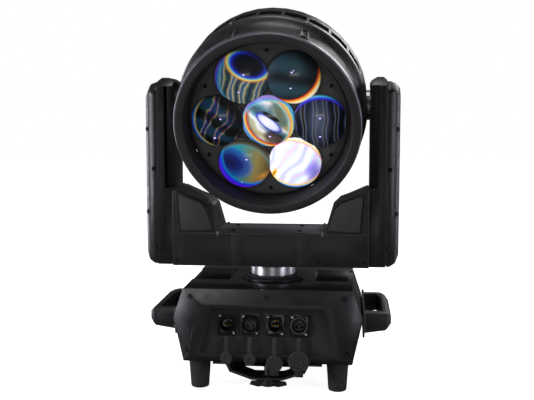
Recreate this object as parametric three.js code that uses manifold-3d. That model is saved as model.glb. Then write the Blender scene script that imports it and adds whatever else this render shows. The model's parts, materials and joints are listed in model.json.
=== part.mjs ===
// A moving head light: seven zooming lenses in a round head, tilting in a yoke that pans on a base.
// Millimetres, +Z up. X runs across the yoke and the lenses face -Y.
// The origin is on the floor, under the pan axis.
import * as THREE from "three";
import { mergeVertices } from "three/addons/utils/BufferGeometryUtils.js";
import Module from "manifold-3d";

// ---- Driving dimensions ----
const GAP = 0.3; // air between neighbouring pieces
const FINE = 40; // facets round a large ring
const ROUND = 20; // facets round a small shaft or boss

// Base: a six-sided housing on four feet
const FOOT_HEIGHT = 42;
const BASE_TOP = 147;
const BASE_WAIST = 105; // height of the widest line
const TOP_HALF = 120.5; // half widths at the top, waist and underside
const WAIST_HALF = 134.5;
const UNDER_HALF = 120.5;
const SHELL_DEPTH = 94; // half length of the middle shell
const FACE_DEPTH = 108; // from the pan axis to a cover's flat face
const RIM_DEPTH = 97; // where a cover's bevel starts
const WALL = 4;

// Yoke
const YOKE_BOTTOM = 173;
const BRIDGE_TOP = 222;
const YOKE_DEPTH = 58; // half depth over the covers
const BRIDGE_DEPTH = 52;
const ARM_INNER = 143.3; // distance of an arm's inner face from the pan axis
const ARM_SPLIT = 167; // where the arm ends and its outer cover starts
const ARM_OUTER = 186;
const ARM_DEPTH = 48; // half depth
const ARM_TOP = 447;

// Head, in its own frame: forward distances along the optical axis from the tilt axis
const TILT_AXIS = 407; // height
const REST_TILT = 17.5; // degrees nose down
const BEZEL_FRONT = 108;
const BEZEL_BACK = 94;
const BEZEL_RADIUS = 131;
const HEAD_RADIUS = 139; // widest, at the rim in front of the cooling vents
const HEAD_BACK = -115;
const BACK_RADIUS = 105;
const LENS_FRONT = 76; // front face of the lens plate at rest
const LENS_PITCH = 72.5;
const LENS_RADIUS = 37.5;
const PLATE_RADIUS = 111;

// Drives
const PAN_PULLEY = 48;
const PAN_PINION = 12;
const PAN_MOTOR_X = 85;
const TILT_PULLEY = 24;
const TILT_PINION = 10;
const TILT_MOTOR_Z = 244;

// ---- Finishes ----
const finish = (color, roughness, metalness) =>
  new THREE.MeshStandardMaterial({ color, roughness, metalness });
const BLACK_PAINT = finish(0x1b1b1c, 0.45, 0.2);
const BLACK_PLASTIC = finish(0x232323, 0.6, 0);
const RUBBER = finish(0x191919, 0.85, 0);
const ALUMINIUM = finish(0xb9bcc0, 0.35, 0.9);
const STEEL = finish(0x8d9093, 0.4, 0.9);
const LENS_PLASTIC = finish(0xdfe6ee, 0.05, 0);
const PLATE_GREY = finish(0x3a3a38, 0.6, 0.1);
const CIRCUIT = finish(0x1e4a2c, 0.6, 0);

// ---- Solids ----
const wasm = await Module();
wasm.setup();

/** A closed three.js geometry as a solid that can be joined and cut. */
function solid(geometry) {
  const bare = new THREE.BufferGeometry();
  bare.setAttribute("position", geometry.getAttribute("position"));
  bare.setIndex(geometry.index);
  const merged = mergeVertices(bare, 1e-4);
  const build = (triVerts) =>
    new wasm.Manifold(
      new wasm.Mesh({
        numProp: 3,
        vertProperties: merged.attributes.position.array,
        triVerts,
      }),
    );
  const triVerts = new Uint32Array(merged.index.array);
  const made = build(triVerts);
  return made.volume() < 0 ? build(triVerts.reverse()) : made;
}

/** A solid's surface as a three.js geometry. */
function geometryOf(body) {
  const mesh = body.getMesh();
  const geometry = new THREE.BufferGeometry();
  geometry.setAttribute("position", new THREE.BufferAttribute(mesh.vertProperties, 3));
  geometry.setIndex(new THREE.BufferAttribute(mesh.triVerts, 1));
  geometry.computeVertexNormals();
  return geometry;
}

/** The same solid on the other side of the X = 0 plane. */
const mirrored = (body) => solid(geometryOf(body).scale(-1, 1, 1));

const join = (...bodies) => bodies.reduce((a, b) => a.add(b));
const cut = (body, ...tools) => tools.reduce((a, b) => a.subtract(b), body);

function box(x0, x1, y0, y1, z0, z1) {
  const geometry = new THREE.BoxGeometry(x1 - x0, y1 - y0, z1 - z0);
  return solid(geometry.translate((x0 + x1) / 2, (y0 + y1) / 2, (z0 + z1) / 2));
}

const X = new THREE.Vector3(1, 0, 0);
const Y = new THREE.Vector3(0, 1, 0);
const Z = new THREE.Vector3(0, 0, 1);
/** How an outline's own x, y and depth lie for each direction of extrusion. */
const PLANES = {
  x: new THREE.Matrix4().makeBasis(Y, Z, X),
  y: new THREE.Matrix4().makeBasis(X, Z, Y.clone().negate()),
  z: new THREE.Matrix4(),
};

/** An outline carried along an axis: drawn in (y, z) along x, in (x, z) along y, in (x, y) along z. */
function extrude(outline, axis, from, to, curveSegments = 16) {
  const shape = outline instanceof THREE.Shape ? outline : new THREE.Shape(outline);
  const geometry = new THREE.ExtrudeGeometry(shape, {
    depth: to - from,
    bevelEnabled: false,
    curveSegments,
  });
  geometry.applyMatrix4(PLANES[axis]);
  const start = { x: X, y: Y, z: Z }[axis].clone().multiplyScalar(axis === "y" ? to : from);
  return solid(geometry.translate(start.x, start.y, start.z));
}

/** A profile of [radius, distance along the axis] pairs turned about an axis. */
function turn(profile, axis, facets = FINE) {
  const points = profile.map(([r, along]) => new THREE.Vector2(r, along));
  const onAxis = profile[0][0] === 0 && profile.at(-1)[0] === 0;
  if (!onAxis) points.push(points[0].clone());
  const geometry = new THREE.LatheGeometry(points, facets);
  if (axis === "z") geometry.rotateX(Math.PI / 2);
  if (axis === "x") geometry.rotateZ(-Math.PI / 2);
  return solid(geometry);
}

/** A round bar along an axis, centred on the other two coordinates. */
function rod(axis, radius, from, to, at = [0, 0, 0], facets = ROUND, endRadius = radius) {
  const geometry = new THREE.CylinderGeometry(endRadius, radius, to - from, facets);
  geometry.translate(0, (from + to) / 2, 0);
  if (axis === "z") geometry.rotateX(Math.PI / 2);
  if (axis === "x") geometry.rotateZ(-Math.PI / 2);
  return solid(geometry.translate(...at));
}

const tube = (axis, outer, inner, from, to, at, facets) =>
  cut(rod(axis, outer, from, to, at, facets), rod(axis, inner, from - 9, to + 9, at, facets));

/** A closed outline of straight sides, moved inwards by a distance all round. */
function inset(points, distance) {
  const turnWay = Math.sign(THREE.ShapeUtils.area(points));
  const count = points.length;
  return points.map((here, i) => {
    const before = points[(i + count - 1) % count];
    const after = points[(i + 1) % count];
    const normal = (a, b) =>
      new THREE.Vector2(a.y - b.y, b.x - a.x).normalize().multiplyScalar(turnWay);
    const first = normal(before, here);
    const middle = first.clone().add(normal(here, after)).normalize();
    return here.clone().add(middle.multiplyScalar(distance / middle.dot(first)));
  });
}

/** A skin over outlines of equal point count, flat at both ends. Each section is {outline, at}. */
function loft(axis, sections) {
  const count = sections[0].outline.length;
  const way = axis === "y" ? -1 : 1;
  const positions = sections.flatMap(({ outline, at }) =>
    outline.flatMap((p) => [p.x, p.y, way * at]),
  );
  const index = [];
  for (let s = 0; s + 1 < sections.length; s++) {
    for (let i = 0; i < count; i++) {
      const a = s * count + i;
      const b = s * count + ((i + 1) % count);
      index.push(a, b, b + count, a, b + count, a + count);
    }
  }
  const last = (sections.length - 1) * count;
  for (const [i, j, k] of THREE.ShapeUtils.triangulateShape(sections[0].outline, [])) {
    index.push(k, j, i);
    index.push(last + i, last + j, last + k);
  }
  const geometry = new THREE.BufferGeometry();
  geometry.setAttribute("position", new THREE.Float32BufferAttribute(positions, 3));
  geometry.setIndex(index);
  return solid(geometry.applyMatrix4(PLANES[axis]));
}

const points = (pairs) => pairs.map(([x, y]) => new THREE.Vector2(x, y));
/** An anticlockwise outline from its right half, given from bottom to top, and its mirror image. */
const symmetric = (pairs) => points([...pairs, ...pairs.toReversed().map(([x, y]) => [-x, y])]);

// ---- The scene graph ----
const light = new THREE.Group();
const yoke = new THREE.Group();
const head = new THREE.Group();
head.position.z = TILT_AXIS;
head.rotation.x = THREE.MathUtils.degToRad(REST_TILT);
light.add(yoke, head);

function add(group, name, body, material) {
  const mesh = new THREE.Mesh(geometryOf(body), material);
  mesh.name = name;
  group.add(mesh);
}
const SIDES = [
  ["left", -1],
  ["right", 1],
];
const ENDS = [
  ["front", -1],
  ["rear", 1],
];
/** Adds a piece that is drawn on the right, and its mirror image on the left. */
function addPair(group, name, right, material) {
  add(group, `${name}_left`, mirrored(right), material);
  add(group, `${name}_right`, right, material);
}

// ---- Base housing ----
const baseOutline = symmetric([
  [UNDER_HALF, FOOT_HEIGHT],
  [WAIST_HALF, BASE_WAIST],
  [TOP_HALF, BASE_TOP],
]);
const faceOutline = symmetric([
  [112, 52],
  [104, 96],
  [91, 127],
]);
const BEARING_FLANGE = 42;
const FIN_FIELD = { inner: 64, front: -23, back: 66, depth: 2.5 };

function baseShell() {
  const body = extrude(baseOutline, "y", -SHELL_DEPTH, SHELL_DEPTH);
  const room = extrude(inset(baseOutline, WALL), "y", -SHELL_DEPTH - 1, SHELL_DEPTH + 1);
  const panHole = rod("z", BEARING_FLANGE + 0.4, BASE_TOP - 10, BASE_TOP + 1, [0, 0, 0], FINE);
  const { inner, front, back, depth } = FIN_FIELD;
  const recess = box(inner, WAIST_HALF, front, back, BASE_TOP - depth, BASE_TOP + 1);
  return cut(body, room, panHole, recess, mirrored(recess));
}

/** A hollow cover for the base's front or back, with a window for the connectors or the display. */
function baseCover(window, floorHoles) {
  const shell = SHELL_DEPTH + GAP;
  const outside = loft("y", [
    { outline: baseOutline, at: shell },
    { outline: baseOutline, at: RIM_DEPTH },
    { outline: faceOutline, at: FACE_DEPTH },
  ]);
  const inside = loft("y", [
    { outline: inset(baseOutline, WALL), at: shell - 1 },
    { outline: inset(faceOutline, WALL + 2), at: FACE_DEPTH - 7 },
  ]);
  const recess = extrude(window, "y", FACE_DEPTH - 4, FACE_DEPTH + 1);
  return cut(outside, inside, recess, ...floorHoles);
}

const SOCKETS = [
  ["signal_in", -56],
  ["signal_out", -23],
  ["power_in", 12],
  ["power_out", 46],
];
const SOCKET_Z = 99;
const SOCKET_BARREL = 11.8;
const PANEL_FRONT = FACE_DEPTH - 4; // floor of a cover's window, from the pan axis
const connectorWindow = symmetric([
  [95, 57],
  [78, 122],
]);
const displayWindow = symmetric([
  [84, 66],
  [76, 120],
]);

/** The covers are drawn at the back, and the front one is turned half round. */
const turnedRound = (body) => solid(geometryOf(body).rotateZ(Math.PI));
const socketHoles = SOCKETS.map(([, x]) =>
  rod("y", SOCKET_BARREL + 0.4, FACE_DEPTH - 12, FACE_DEPTH, [-x, 0, SOCKET_Z]),
);
const displayHole = box(-68, 68, FACE_DEPTH - 12, FACE_DEPTH, 68, 118);

add(light, "base_shell", baseShell(), BLACK_PAINT);
add(light, "base_front_cover", turnedRound(baseCover(connectorWindow, socketHoles)), BLACK_PAINT);
add(light, "base_rear_cover", baseCover(displayWindow, [displayHole]), BLACK_PAINT);

// ---- Feet and handles ----
const FOOT_X = 99.5;
const FOOT_Y = 78;
const footProfile = [
  [0, 0],
  [11, 0],
  [13, 2],
  [16, FOOT_HEIGHT - GAP],
  [0, FOOT_HEIGHT - GAP],
];
for (const [side, sx] of SIDES) {
  for (const [end, sy] of ENDS) {
    const foot = turn(footProfile, "z", ROUND);
    const placed = solid(geometryOf(foot).translate(sx * FOOT_X, sy * FOOT_Y, 0));
    add(light, `foot_${end}_${side}`, placed, RUBBER);
  }
}

const HANDLE = {
  root: WAIST_HALF + GAP,
  reach: 175.5,
  front: -66,
  back: 84,
  low: 80,
  high: 110,
  bar: 12, // thickness of the bar round the finger gap
};
/** A grab handle: a flange plate on the waist and a bail round a finger gap. */
function handle() {
  const { root, reach, front, back, low, high, bar } = HANDLE;
  const bail = points([
    [root, front],
    [reach - 5, front],
    [reach, front + 6],
    [reach, back - 42],
    [reach - 7, back - 10],
    [reach - 12, back],
    [root, back],
  ]);
  const fingerGap = points([
    [root + 3, front + 18],
    [reach - bar, front + 18],
    [reach - bar, back - 42],
    [reach - bar - 6, back - 14],
    [root + 3, back - 14],
  ]);
  const side = points([
    [root, low],
    [reach - 8, low + 5],
    [reach, low + 14],
    [reach, high - 4],
    [reach - 4, high],
    [root, high],
  ]);
  const flange = box(root, root + 3, front - 5, back + 9, low - 5, high + 9);
  const loop = cut(extrude(bail, "z", low, high), extrude(fingerGap, "z", low - 1, high + 1));
  return join(flange, loop.intersect(extrude(side, "y", front - 1, back + 1)));
}
addPair(light, "handle", handle(), BLACK_PLASTIC);

// ---- Sockets, drawn facing +Y and then turned to the front ----
const FLANGE_FRONT = PANEL_FRONT + GAP + 2;
const CUP_FLOOR = FLANGE_FRONT - 17;
/** A panel socket: a square-cornered flange with a cup behind it, and what stands in the cup. */
function socket(cupRadius, contents) {
  const flange = box(-13, 13, PANEL_FRONT + GAP, FLANGE_FRONT, -15.5, 15.5);
  const barrel = rod("y", SOCKET_BARREL, CUP_FLOOR - 4, FLANGE_FRONT);
  const cup = rod("y", cupRadius, CUP_FLOOR, FLANGE_FRONT + 1);
  return join(cut(join(flange, barrel), cup), ...contents);
}
const PIN_CIRCLE = 4.6;
const contacts = (count, radius, reach) =>
  Array.from({ length: count }, (_, i) => {
    const angle = Math.PI / 2 + (i * 2 * Math.PI) / count;
    const at = [PIN_CIRCLE * Math.cos(angle), 0, PIN_CIRCLE * Math.sin(angle)];
    return rod("y", radius, CUP_FLOOR - 1, reach, at, 8);
  });
const SOCKET_KINDS = {
  signal_in: [9.6, contacts(3, 1.2, FLANGE_FRONT - 8)],
  signal_out: [9.8, [rod("y", 7.4, CUP_FLOOR - 1, FLANGE_FRONT - 6)]],
  power_in: [8.6, contacts(3, 1.6, FLANGE_FRONT - 7)],
  power_out: [10, [rod("y", 7, CUP_FLOOR - 1, FLANGE_FRONT - 6)]],
};
for (const [name, x] of SOCKETS) {
  const facing = turnedRound(socket(...SOCKET_KINDS[name]));
  const placed = solid(geometryOf(facing).translate(x, 0, SOCKET_Z));
  add(light, `${name}_socket`, placed, BLACK_PLASTIC);
}

// ---- Rubber caps that hang on their straps below the sockets ----
const STRAP_TOP = 82;
const CAPS = {
  signal_in: { radius: 8.5, drop: 30, tab: 1 },
  signal_out: { radius: 8.5, drop: 31, tab: 1 },
  power_in: { radius: 12, drop: 36, tab: 6 },
  power_out: { radius: 14.5, drop: 32, tab: 9 },
};
function cap({ radius, drop, tab }) {
  const outer = -FACE_DEPTH - GAP; // clear of the cover's face
  const strap = points([
    [-FLANGE_FRONT - 1, STRAP_TOP],
    [-FLANGE_FRONT - 2.5, STRAP_TOP],
    [outer - 3, STRAP_TOP - 14],
    [outer - 3, STRAP_TOP - drop],
    [outer - 0.5, STRAP_TOP - drop],
    [outer - 0.5, STRAP_TOP - 14],
  ]);
  const middle = STRAP_TOP - drop;
  const disc = rod("y", radius, outer - 6, outer, [0, 0, middle]);
  const pull = box(-6, 6, outer - 3, outer, middle - radius - tab, middle);
  return join(extrude(strap, "x", -3, 3), disc, pull);
}
for (const [name, x] of SOCKETS) {
  const placed = solid(geometryOf(cap(CAPS[name])).translate(x, 0, 0));
  add(light, `${name}_cap`, placed, RUBBER);
}

// ---- Display and menu buttons, on the back ----
const BUTTON_RADIUS = 5.2;
const BUTTONS = [
  ["menu", 32, 101],
  ["up", 52, 101],
  ["down", 52, 83],
  ["enter", 32, 83],
];
const BEZEL_PLATE = { back: PANEL_FRONT - 5, front: PANEL_FRONT - 2 };
function displayPanel() {
  const { back, front } = BEZEL_PLATE;
  const plate = box(-67.5, 67.5, back, front, 68.5, 117.5);
  const screen = box(-52, 14, front - 1, front + 1, 74, 112);
  const board = box(-60, 66, 82, 84, 62, 106);
  const posts = [-56, 62].flatMap((x) => [72, 103].map((z) => rod("y", 2.5, 83, back + 1, [x, 0, z], 8)));
  const holes = BUTTONS.map(([, x, z]) =>
    rod("y", BUTTON_RADIUS + 0.4, back - 1, front + 2, [x, 0, z]),
  );
  return cut(join(plate, screen, board, ...posts), ...holes);
}
add(light, "display_panel", displayPanel(), BLACK_PLASTIC);
for (const [name, x, z] of BUTTONS) {
  const { back, front } = BEZEL_PLATE;
  const flange = back - GAP;
  const button = join(
    rod("y", BUTTON_RADIUS, flange - 1, front + 2.5, [x, 0, z]),
    rod("y", BUTTON_RADIUS + 1.5, flange - 2, flange, [x, 0, z]),
  );
  add(light, `${name}_button`, button, RUBBER);
}

// ---- Base internals ----
const SPINDLE_RADIUS = 33.5;
const SPINDLE_BORE = 22;
const BELT_PLANE = { low: 112, high: 124 };
const panBearing = turn(
  [
    [SPINDLE_RADIUS + 0.5, 126],
    [BEARING_FLANGE, 126],
    [BEARING_FLANGE, BASE_TOP + GAP],
    [BEARING_FLANGE + 3, BASE_TOP + GAP],
    [BEARING_FLANGE + 3, BASE_TOP + 2.5],
    [SPINDLE_RADIUS + 0.5, BASE_TOP + 4],
  ],
  "z",
);
add(light, "pan_bearing", panBearing, BLACK_PAINT);

const panShaftHole = rod("z", 3.5, 96, 109, [PAN_MOTOR_X, 0, 0], 12);
const panMotor = cut(box(PAN_MOTOR_X - 21, PAN_MOTOR_X + 21, -21, 21, 58, 108), panShaftHole);
add(light, "pan_motor", panMotor, STEEL);
const panPinion = join(
  rod("z", 3, 98, BELT_PLANE.low + 2, [PAN_MOTOR_X, 0, 0], 12),
  rod("z", PAN_PINION, BELT_PLANE.low - 1, BELT_PLANE.high + 1, [PAN_MOTOR_X, 0, 0]),
);
add(light, "pan_motor_pulley", panPinion, ALUMINIUM);

// ---- Two omega brackets under the base, each with a wing bolt for a clamp ----
const BRACKET_Y = 79;
const BRACKET_HALF_WIDTH = 20;
const BRACKET_TOP = FOOT_HEIGHT - GAP;
const SHEET = 3;
const HAT_BOTTOM = 17;
const BOLT_RADIUS = 6;
const CLAMP_PLATE = 6.5; // room between bracket and bolt hub for the plate of a truss clamp
function omegaBracket() {
  const outline = symmetric([
    [22, HAT_BOTTOM],
    [54, 28],
    [59, BRACKET_TOP - SHEET],
    [78, BRACKET_TOP - SHEET],
    [78, BRACKET_TOP],
    [56, BRACKET_TOP],
    [51, 31],
    [21, HAT_BOTTOM + SHEET],
  ]);
  const strip = extrude(outline, "y", -BRACKET_HALF_WIDTH, BRACKET_HALF_WIDTH);
  return cut(strip, rod("z", BOLT_RADIUS + 0.4, HAT_BOTTOM - 1, HAT_BOTTOM + SHEET + 1));
}

function wingBolt() {
  const shank = rod("z", BOLT_RADIUS, 8, HAT_BOTTOM + 17);
  const hub = rod("z", 10, 4, HAT_BOTTOM - CLAMP_PLATE);
  const wing = points([
    [0, 4.5],
    [15, 2],
    [27, 5],
    [25, 9],
    [10, HAT_BOTTOM - CLAMP_PLATE],
    [0, HAT_BOTTOM - CLAMP_PLATE],
  ]);
  const blade = extrude(wing, "y", -3, 3);
  return join(shank, hub, blade, mirrored(blade));
}
for (const [end, sy] of ENDS) {
  const placed = (body) => solid(geometryOf(body).translate(0, sy * BRACKET_Y, 0));
  add(light, `omega_bracket_${end}`, placed(omegaBracket()), STEEL);
  add(light, `wing_bolt_${end}`, placed(wingBolt()), BLACK_PLASTIC);
}

// ---- Yoke: bridge, covers and arms ----
const panSpindle = turn(
  [
    [SPINDLE_BORE, 108],
    [SPINDLE_RADIUS, 108],
    [SPINDLE_RADIUS, BELT_PLANE.low],
    [PAN_PULLEY, BELT_PLANE.low],
    [PAN_PULLEY, BELT_PLANE.high],
    [SPINDLE_RADIUS, BELT_PLANE.high],
    [SPINDLE_RADIUS, YOKE_BOTTOM - GAP],
    [SPINDLE_BORE, YOKE_BOTTOM - GAP],
  ],
  "z",
);
add(yoke, "pan_spindle", panSpindle, ALUMINIUM);

const BRIDGE_HALF = ARM_INNER - GAP;
function yokeBridge() {
  const half = BRIDGE_HALF;
  const depth = BRIDGE_DEPTH;
  const inside = depth - WALL;
  const body = box(-half, half, -depth, depth, YOKE_BOTTOM, BRIDGE_TOP);
  const room = box(-half - 1, half + 1, -inside, inside, YOKE_BOTTOM + WALL, BRIDGE_TOP - WALL);
  const collar = tube("z", 37, SPINDLE_RADIUS + 0.5, YOKE_BOTTOM - 5, YOKE_BOTTOM + 1, [0, 0, 0], FINE);
  const wireHole = rod("z", SPINDLE_BORE - 2, YOKE_BOTTOM - 1, YOKE_BOTTOM + WALL + 1);
  return join(cut(body, room, wireHole), collar);
}
add(yoke, "yoke_bridge", yokeBridge(), ALUMINIUM);

const gusset = points([
  [BRIDGE_HALF, BRIDGE_TOP + GAP],
  [BRIDGE_HALF, 285],
  [100, 266],
  [90, 257],
  [80, BRIDGE_TOP + GAP],
]);
/** A yoke cover: a plate over the bridge with a hollow corner block at each end. Drawn at the back. */
function yokeCover() {
  const plateBack = BRIDGE_DEPTH + GAP;
  const plate = box(-BRIDGE_HALF, BRIDGE_HALF, plateBack, YOKE_DEPTH, YOKE_BOTTOM, BRIDGE_TOP + GAP);
  const block = extrude(gusset, "y", GAP, YOKE_DEPTH);
  const innerOutline = inset(gusset, 3);
  innerOutline[0].x = BRIDGE_HALF + 1;
  innerOutline[1].x = BRIDGE_HALF + 1;
  const room = extrude(innerOutline, "y", 0, YOKE_DEPTH - 3.5);
  const corner = cut(block, room);
  return join(plate, corner, mirrored(corner));
}
add(yoke, "yoke_rear_cover", yokeCover(), BLACK_PAINT);
add(yoke, "yoke_front_cover", turnedRound(yokeCover()), BLACK_PAINT);

/** A tall outline in (y, z) with its two top corners cut off. */
const armOutline = (halfDepth, bottom, top) =>
  points([
    [-halfDepth, bottom],
    [halfDepth, bottom],
    [halfDepth, top - 13],
    [halfDepth - 20, top],
    [20 - halfDepth, top],
    [-halfDepth, top - 13],
  ]);
const BEARING_SEAT = 24;
const JOURNAL_END = 171;
const SLOT = { outer: 155.5, back: 28, low: 286, high: 434 };
function yokeArm() {
  const body = extrude(armOutline(ARM_DEPTH, YOKE_BOTTOM, ARM_TOP), "x", ARM_INNER, ARM_SPLIT);
  const room = armOutline(ARM_DEPTH - WALL, YOKE_BOTTOM + WALL, ARM_TOP - WALL);
  const outerRoom = extrude(room, "x", 159.5, ARM_SPLIT + 1);
  const innerRoom = box(ARM_INNER + WALL, ARM_SPLIT, -24, 24, YOKE_BOTTOM + 12, 380);
  const seat = rod("x", BEARING_SEAT, ARM_INNER - 1, ARM_SPLIT, [0, 0, TILT_AXIS]);
  const motorPort = box(ARM_INNER - 1, ARM_SPLIT, -18, 18, TILT_MOTOR_Z - 18, TILT_MOTOR_Z + 18);
  const { outer, back, low, high } = SLOT;
  const frontSlot = box(ARM_INNER - 1, outer, -ARM_DEPTH - 1, -back, low, high);
  const rearSlot = box(ARM_INNER - 1, outer, back, ARM_DEPTH + 1, low, high);
  const front = points([
    [ARM_INNER, YOKE_BOTTOM],
    [ARM_SPLIT, YOKE_BOTTOM],
    [ARM_SPLIT, ARM_TOP - 5],
    [ARM_SPLIT - 5, ARM_TOP],
    [ARM_INNER + 9, ARM_TOP],
    [ARM_INNER, ARM_TOP - 6],
  ]);
  const bevelled = body.intersect(extrude(front, "y", -ARM_DEPTH - 1, ARM_DEPTH + 1));
  return cut(bevelled, outerRoom, innerRoom, seat, motorPort, frontSlot, rearSlot);
}
addPair(yoke, "yoke_arm", yokeArm(), BLACK_PAINT);

/** An outer cover, bevelled towards its outer face, with a rounded lower corner. */
function armCover() {
  const section = (at, halfDepth, bottom, top) => ({ outline: armOutline(halfDepth, bottom, top), at });
  const outside = loft("x", [
    section(ARM_SPLIT + GAP, 45, YOKE_BOTTOM, 441),
    section(ARM_SPLIT + 5, 45, YOKE_BOTTOM, 441),
    section(ARM_OUTER - 5, 41, YOKE_BOTTOM + 5, 438),
    section(ARM_OUTER, 34, YOKE_BOTTOM + 17, 431),
  ]);
  const room = extrude(armOutline(38, YOKE_BOTTOM + 16, 436), "x", ARM_SPLIT - 1, JOURNAL_END + 3);
  return cut(outside, room);
}
addPair(yoke, "arm_cover", armCover(), BLACK_PAINT);

// ---- Tilt drive, in the left arm ----
const AXLE_RADIUS = 15;
const BEARING_END = 155;
const atTiltAxis = [0, 0, TILT_AXIS];
const tiltBearing = tube(
  "x", BEARING_SEAT - GAP, AXLE_RADIUS + 0.4, ARM_INNER + 0.2, BEARING_END, atTiltAxis,
);
addPair(yoke, "tilt_bearing", tiltBearing, STEEL);
const TILT_BELT = { inner: 160, outer: 170 };
const tiltShaftHole = rod("x", 3.5, -158, -145, [0, 0, TILT_MOTOR_Z], 12);
const tiltMotorBody = box(-157, -104, -16, 16, TILT_MOTOR_Z - 16, TILT_MOTOR_Z + 16);
const tiltMotor = cut(tiltMotorBody, tiltShaftHole);
add(yoke, "tilt_motor", tiltMotor, STEEL);
const tiltPinion = join(
  rod("x", 3, -162, -147, [0, 0, TILT_MOTOR_Z], 12),
  rod("x", TILT_PINION, -TILT_BELT.outer, -TILT_BELT.inner, [0, 0, TILT_MOTOR_Z]),
);
add(yoke, "tilt_motor_pulley", tiltPinion, ALUMINIUM);

// ---- Head, in its own frame: the optical axis lies along Y and forward is -Y ----
/** A profile of [radius, forward distance] pairs turned about the optical axis. */
const turnHead = (profile, facets) =>
  turn(profile.map(([r, forward]) => [r, -forward]), "y", facets);
const CASING_BACK = 24;
const HUB_RADIUS = 22;
const hubHole = rod("x", HUB_RADIUS + 0.5, -150, 150, [0, 0, 0], ROUND);

const frontBezel = turnHead([
  [BEZEL_RADIUS, BEZEL_BACK],
  [BEZEL_RADIUS, BEZEL_FRONT - 3],
  [BEZEL_RADIUS - 3, BEZEL_FRONT],
  [118, BEZEL_FRONT],
  [117, BEZEL_FRONT - 2],
  [114.8, LENS_FRONT - 1],
  [117.2, LENS_FRONT - 1],
  [120, BEZEL_BACK],
], 48);
add(head, "front_bezel", frontBezel, BLACK_PAINT);

/** A waisted drum that flares to the rim in front of the vents. */
const headCasing = turnHead([
  [127.5, BEZEL_BACK - GAP],
  [127.5, 58],
  [131, 42],
  [HEAD_RADIUS, 33],
  [HEAD_RADIUS, CASING_BACK],
  [HEAD_RADIUS - 4, CASING_BACK],
  [HEAD_RADIUS - 4, 31],
  [127.5, 42],
  [124.5, 58],
  [124.5, BEZEL_BACK - GAP],
], 48);
add(head, "head_casing", headCasing, BLACK_PAINT);

const GRILLE_RADIUS = 58; // round the fan
const VENTS = 24;
const VENT = { front: 18, back: -6, half: 15.8 };
function rearCover() {
  const skin = turnHead([
    [HEAD_RADIUS, CASING_BACK - GAP],
    [HEAD_RADIUS, -30],
    [HEAD_RADIUS - 7, -46],
    [BACK_RADIUS + 10, HEAD_BACK + 14],
    [BACK_RADIUS, HEAD_BACK],
    [0, HEAD_BACK],
    [0, HEAD_BACK + WALL],
    [BACK_RADIUS - 4, HEAD_BACK + WALL],
    [BACK_RADIUS + 5, HEAD_BACK + 18],
    [HEAD_RADIUS - 12, -46],
    [HEAD_RADIUS - 5, -30],
    [HEAD_RADIUS - 5, CASING_BACK - GAP],
  ]);
  const vent = new THREE.BoxGeometry(2 * VENT.half, VENT.front - VENT.back, 20);
  vent.translate(0, -(VENT.front + VENT.back) / 2, HEAD_RADIUS);
  const ventAngles = Array.from({ length: VENTS }, (_, i) => (i * 2 * Math.PI) / VENTS);
  const vents = ventAngles
    .filter((angle) => Math.abs(Math.sin(angle)) < 0.9) // none beside the tilt hubs
    .map((angle) => solid(vent.clone().rotateY(angle)));
  const grille = [-48, -24, 0, 24, 48].map((z) => {
    const half = Math.sqrt(GRILLE_RADIUS ** 2 - z ** 2);
    return box(-half, half, 100, 120, z - 8, z + 8);
  });
  return cut(skin, hubHole, ...vents, ...grille);
}
add(head, "head_rear_cover", rearCover(), BLACK_PAINT);

// Light engine: a cast heatsink that carries everything in the head, with the emitter board in front
const FRAME_DISC = { front: -9, back: -14, radius: 128 };
const GUIDE_CIRCLE = 117.5;
const GUIDES = [90, 210, 330];
const ZOOM_MOTOR_ANGLE = 30;
const polar = (radius, degrees) => {
  const angle = THREE.MathUtils.degToRad(degrees);
  return [radius * Math.cos(angle), 0, radius * Math.sin(angle)];
};
function heatsink() {
  const disc = rod("y", FRAME_DISC.radius, -FRAME_DISC.front, -FRAME_DISC.back, [0, 0, 0], FINE);
  const fins = [];
  for (let x = -84; x <= 84; x += 14) {
    const half = Math.sqrt(96 ** 2 - x ** 2);
    fins.push(box(x - 1.5, x + 1.5, -FRAME_DISC.back - 1, 78, -half, half));
  }
  const cheek = box(108, 129.4, -20, 20, -20, 20);
  const guides = GUIDES.map((angle) => rod("y", 3, -72, 10, polar(GUIDE_CIRCLE, angle), 8));
  const screwHole = rod("y", 5, 0, 20, polar(GUIDE_CIRCLE, ZOOM_MOTOR_ANGLE), 8);
  return cut(join(disc, ...fins, cheek, mirrored(cheek), ...guides), screwHole);
}
add(head, "heatsink", heatsink(), ALUMINIUM);

const SIX_WAYS = [0, 60, 120, 180, 240, 300];
const lensCentres = [[0, 0, 0], ...SIX_WAYS.map((angle) => polar(LENS_PITCH, angle))];
const ledBoard = join(
  rod("y", 104, 5.5, 8.5, [0, 0, 0], FINE),
  ...lensCentres.map((at) => rod("y", 14, -26, 6, at, 6, 8)),
);
add(head, "led_board", ledBoard, CIRCUIT);

/** Placed on the guide circle, beside the heatsink's screw hole. */
const atZoomDrive = (body) => {
  const geometry = geometryOf(body).translate(GUIDE_CIRCLE, 0, 0);
  return solid(geometry.rotateY(-THREE.MathUtils.degToRad(ZOOM_MOTOR_ANGLE)));
};
const zoomMotorBody = new THREE.BoxGeometry(22, 24, 22).translate(0, 27, 0);
add(head, "zoom_motor", atZoomDrive(solid(zoomMotorBody)), STEEL);
add(head, "zoom_screw", atZoomDrive(rod("y", 3, -72, 15 - GAP, [0, 0, 0], 8)), STEEL);

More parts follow.
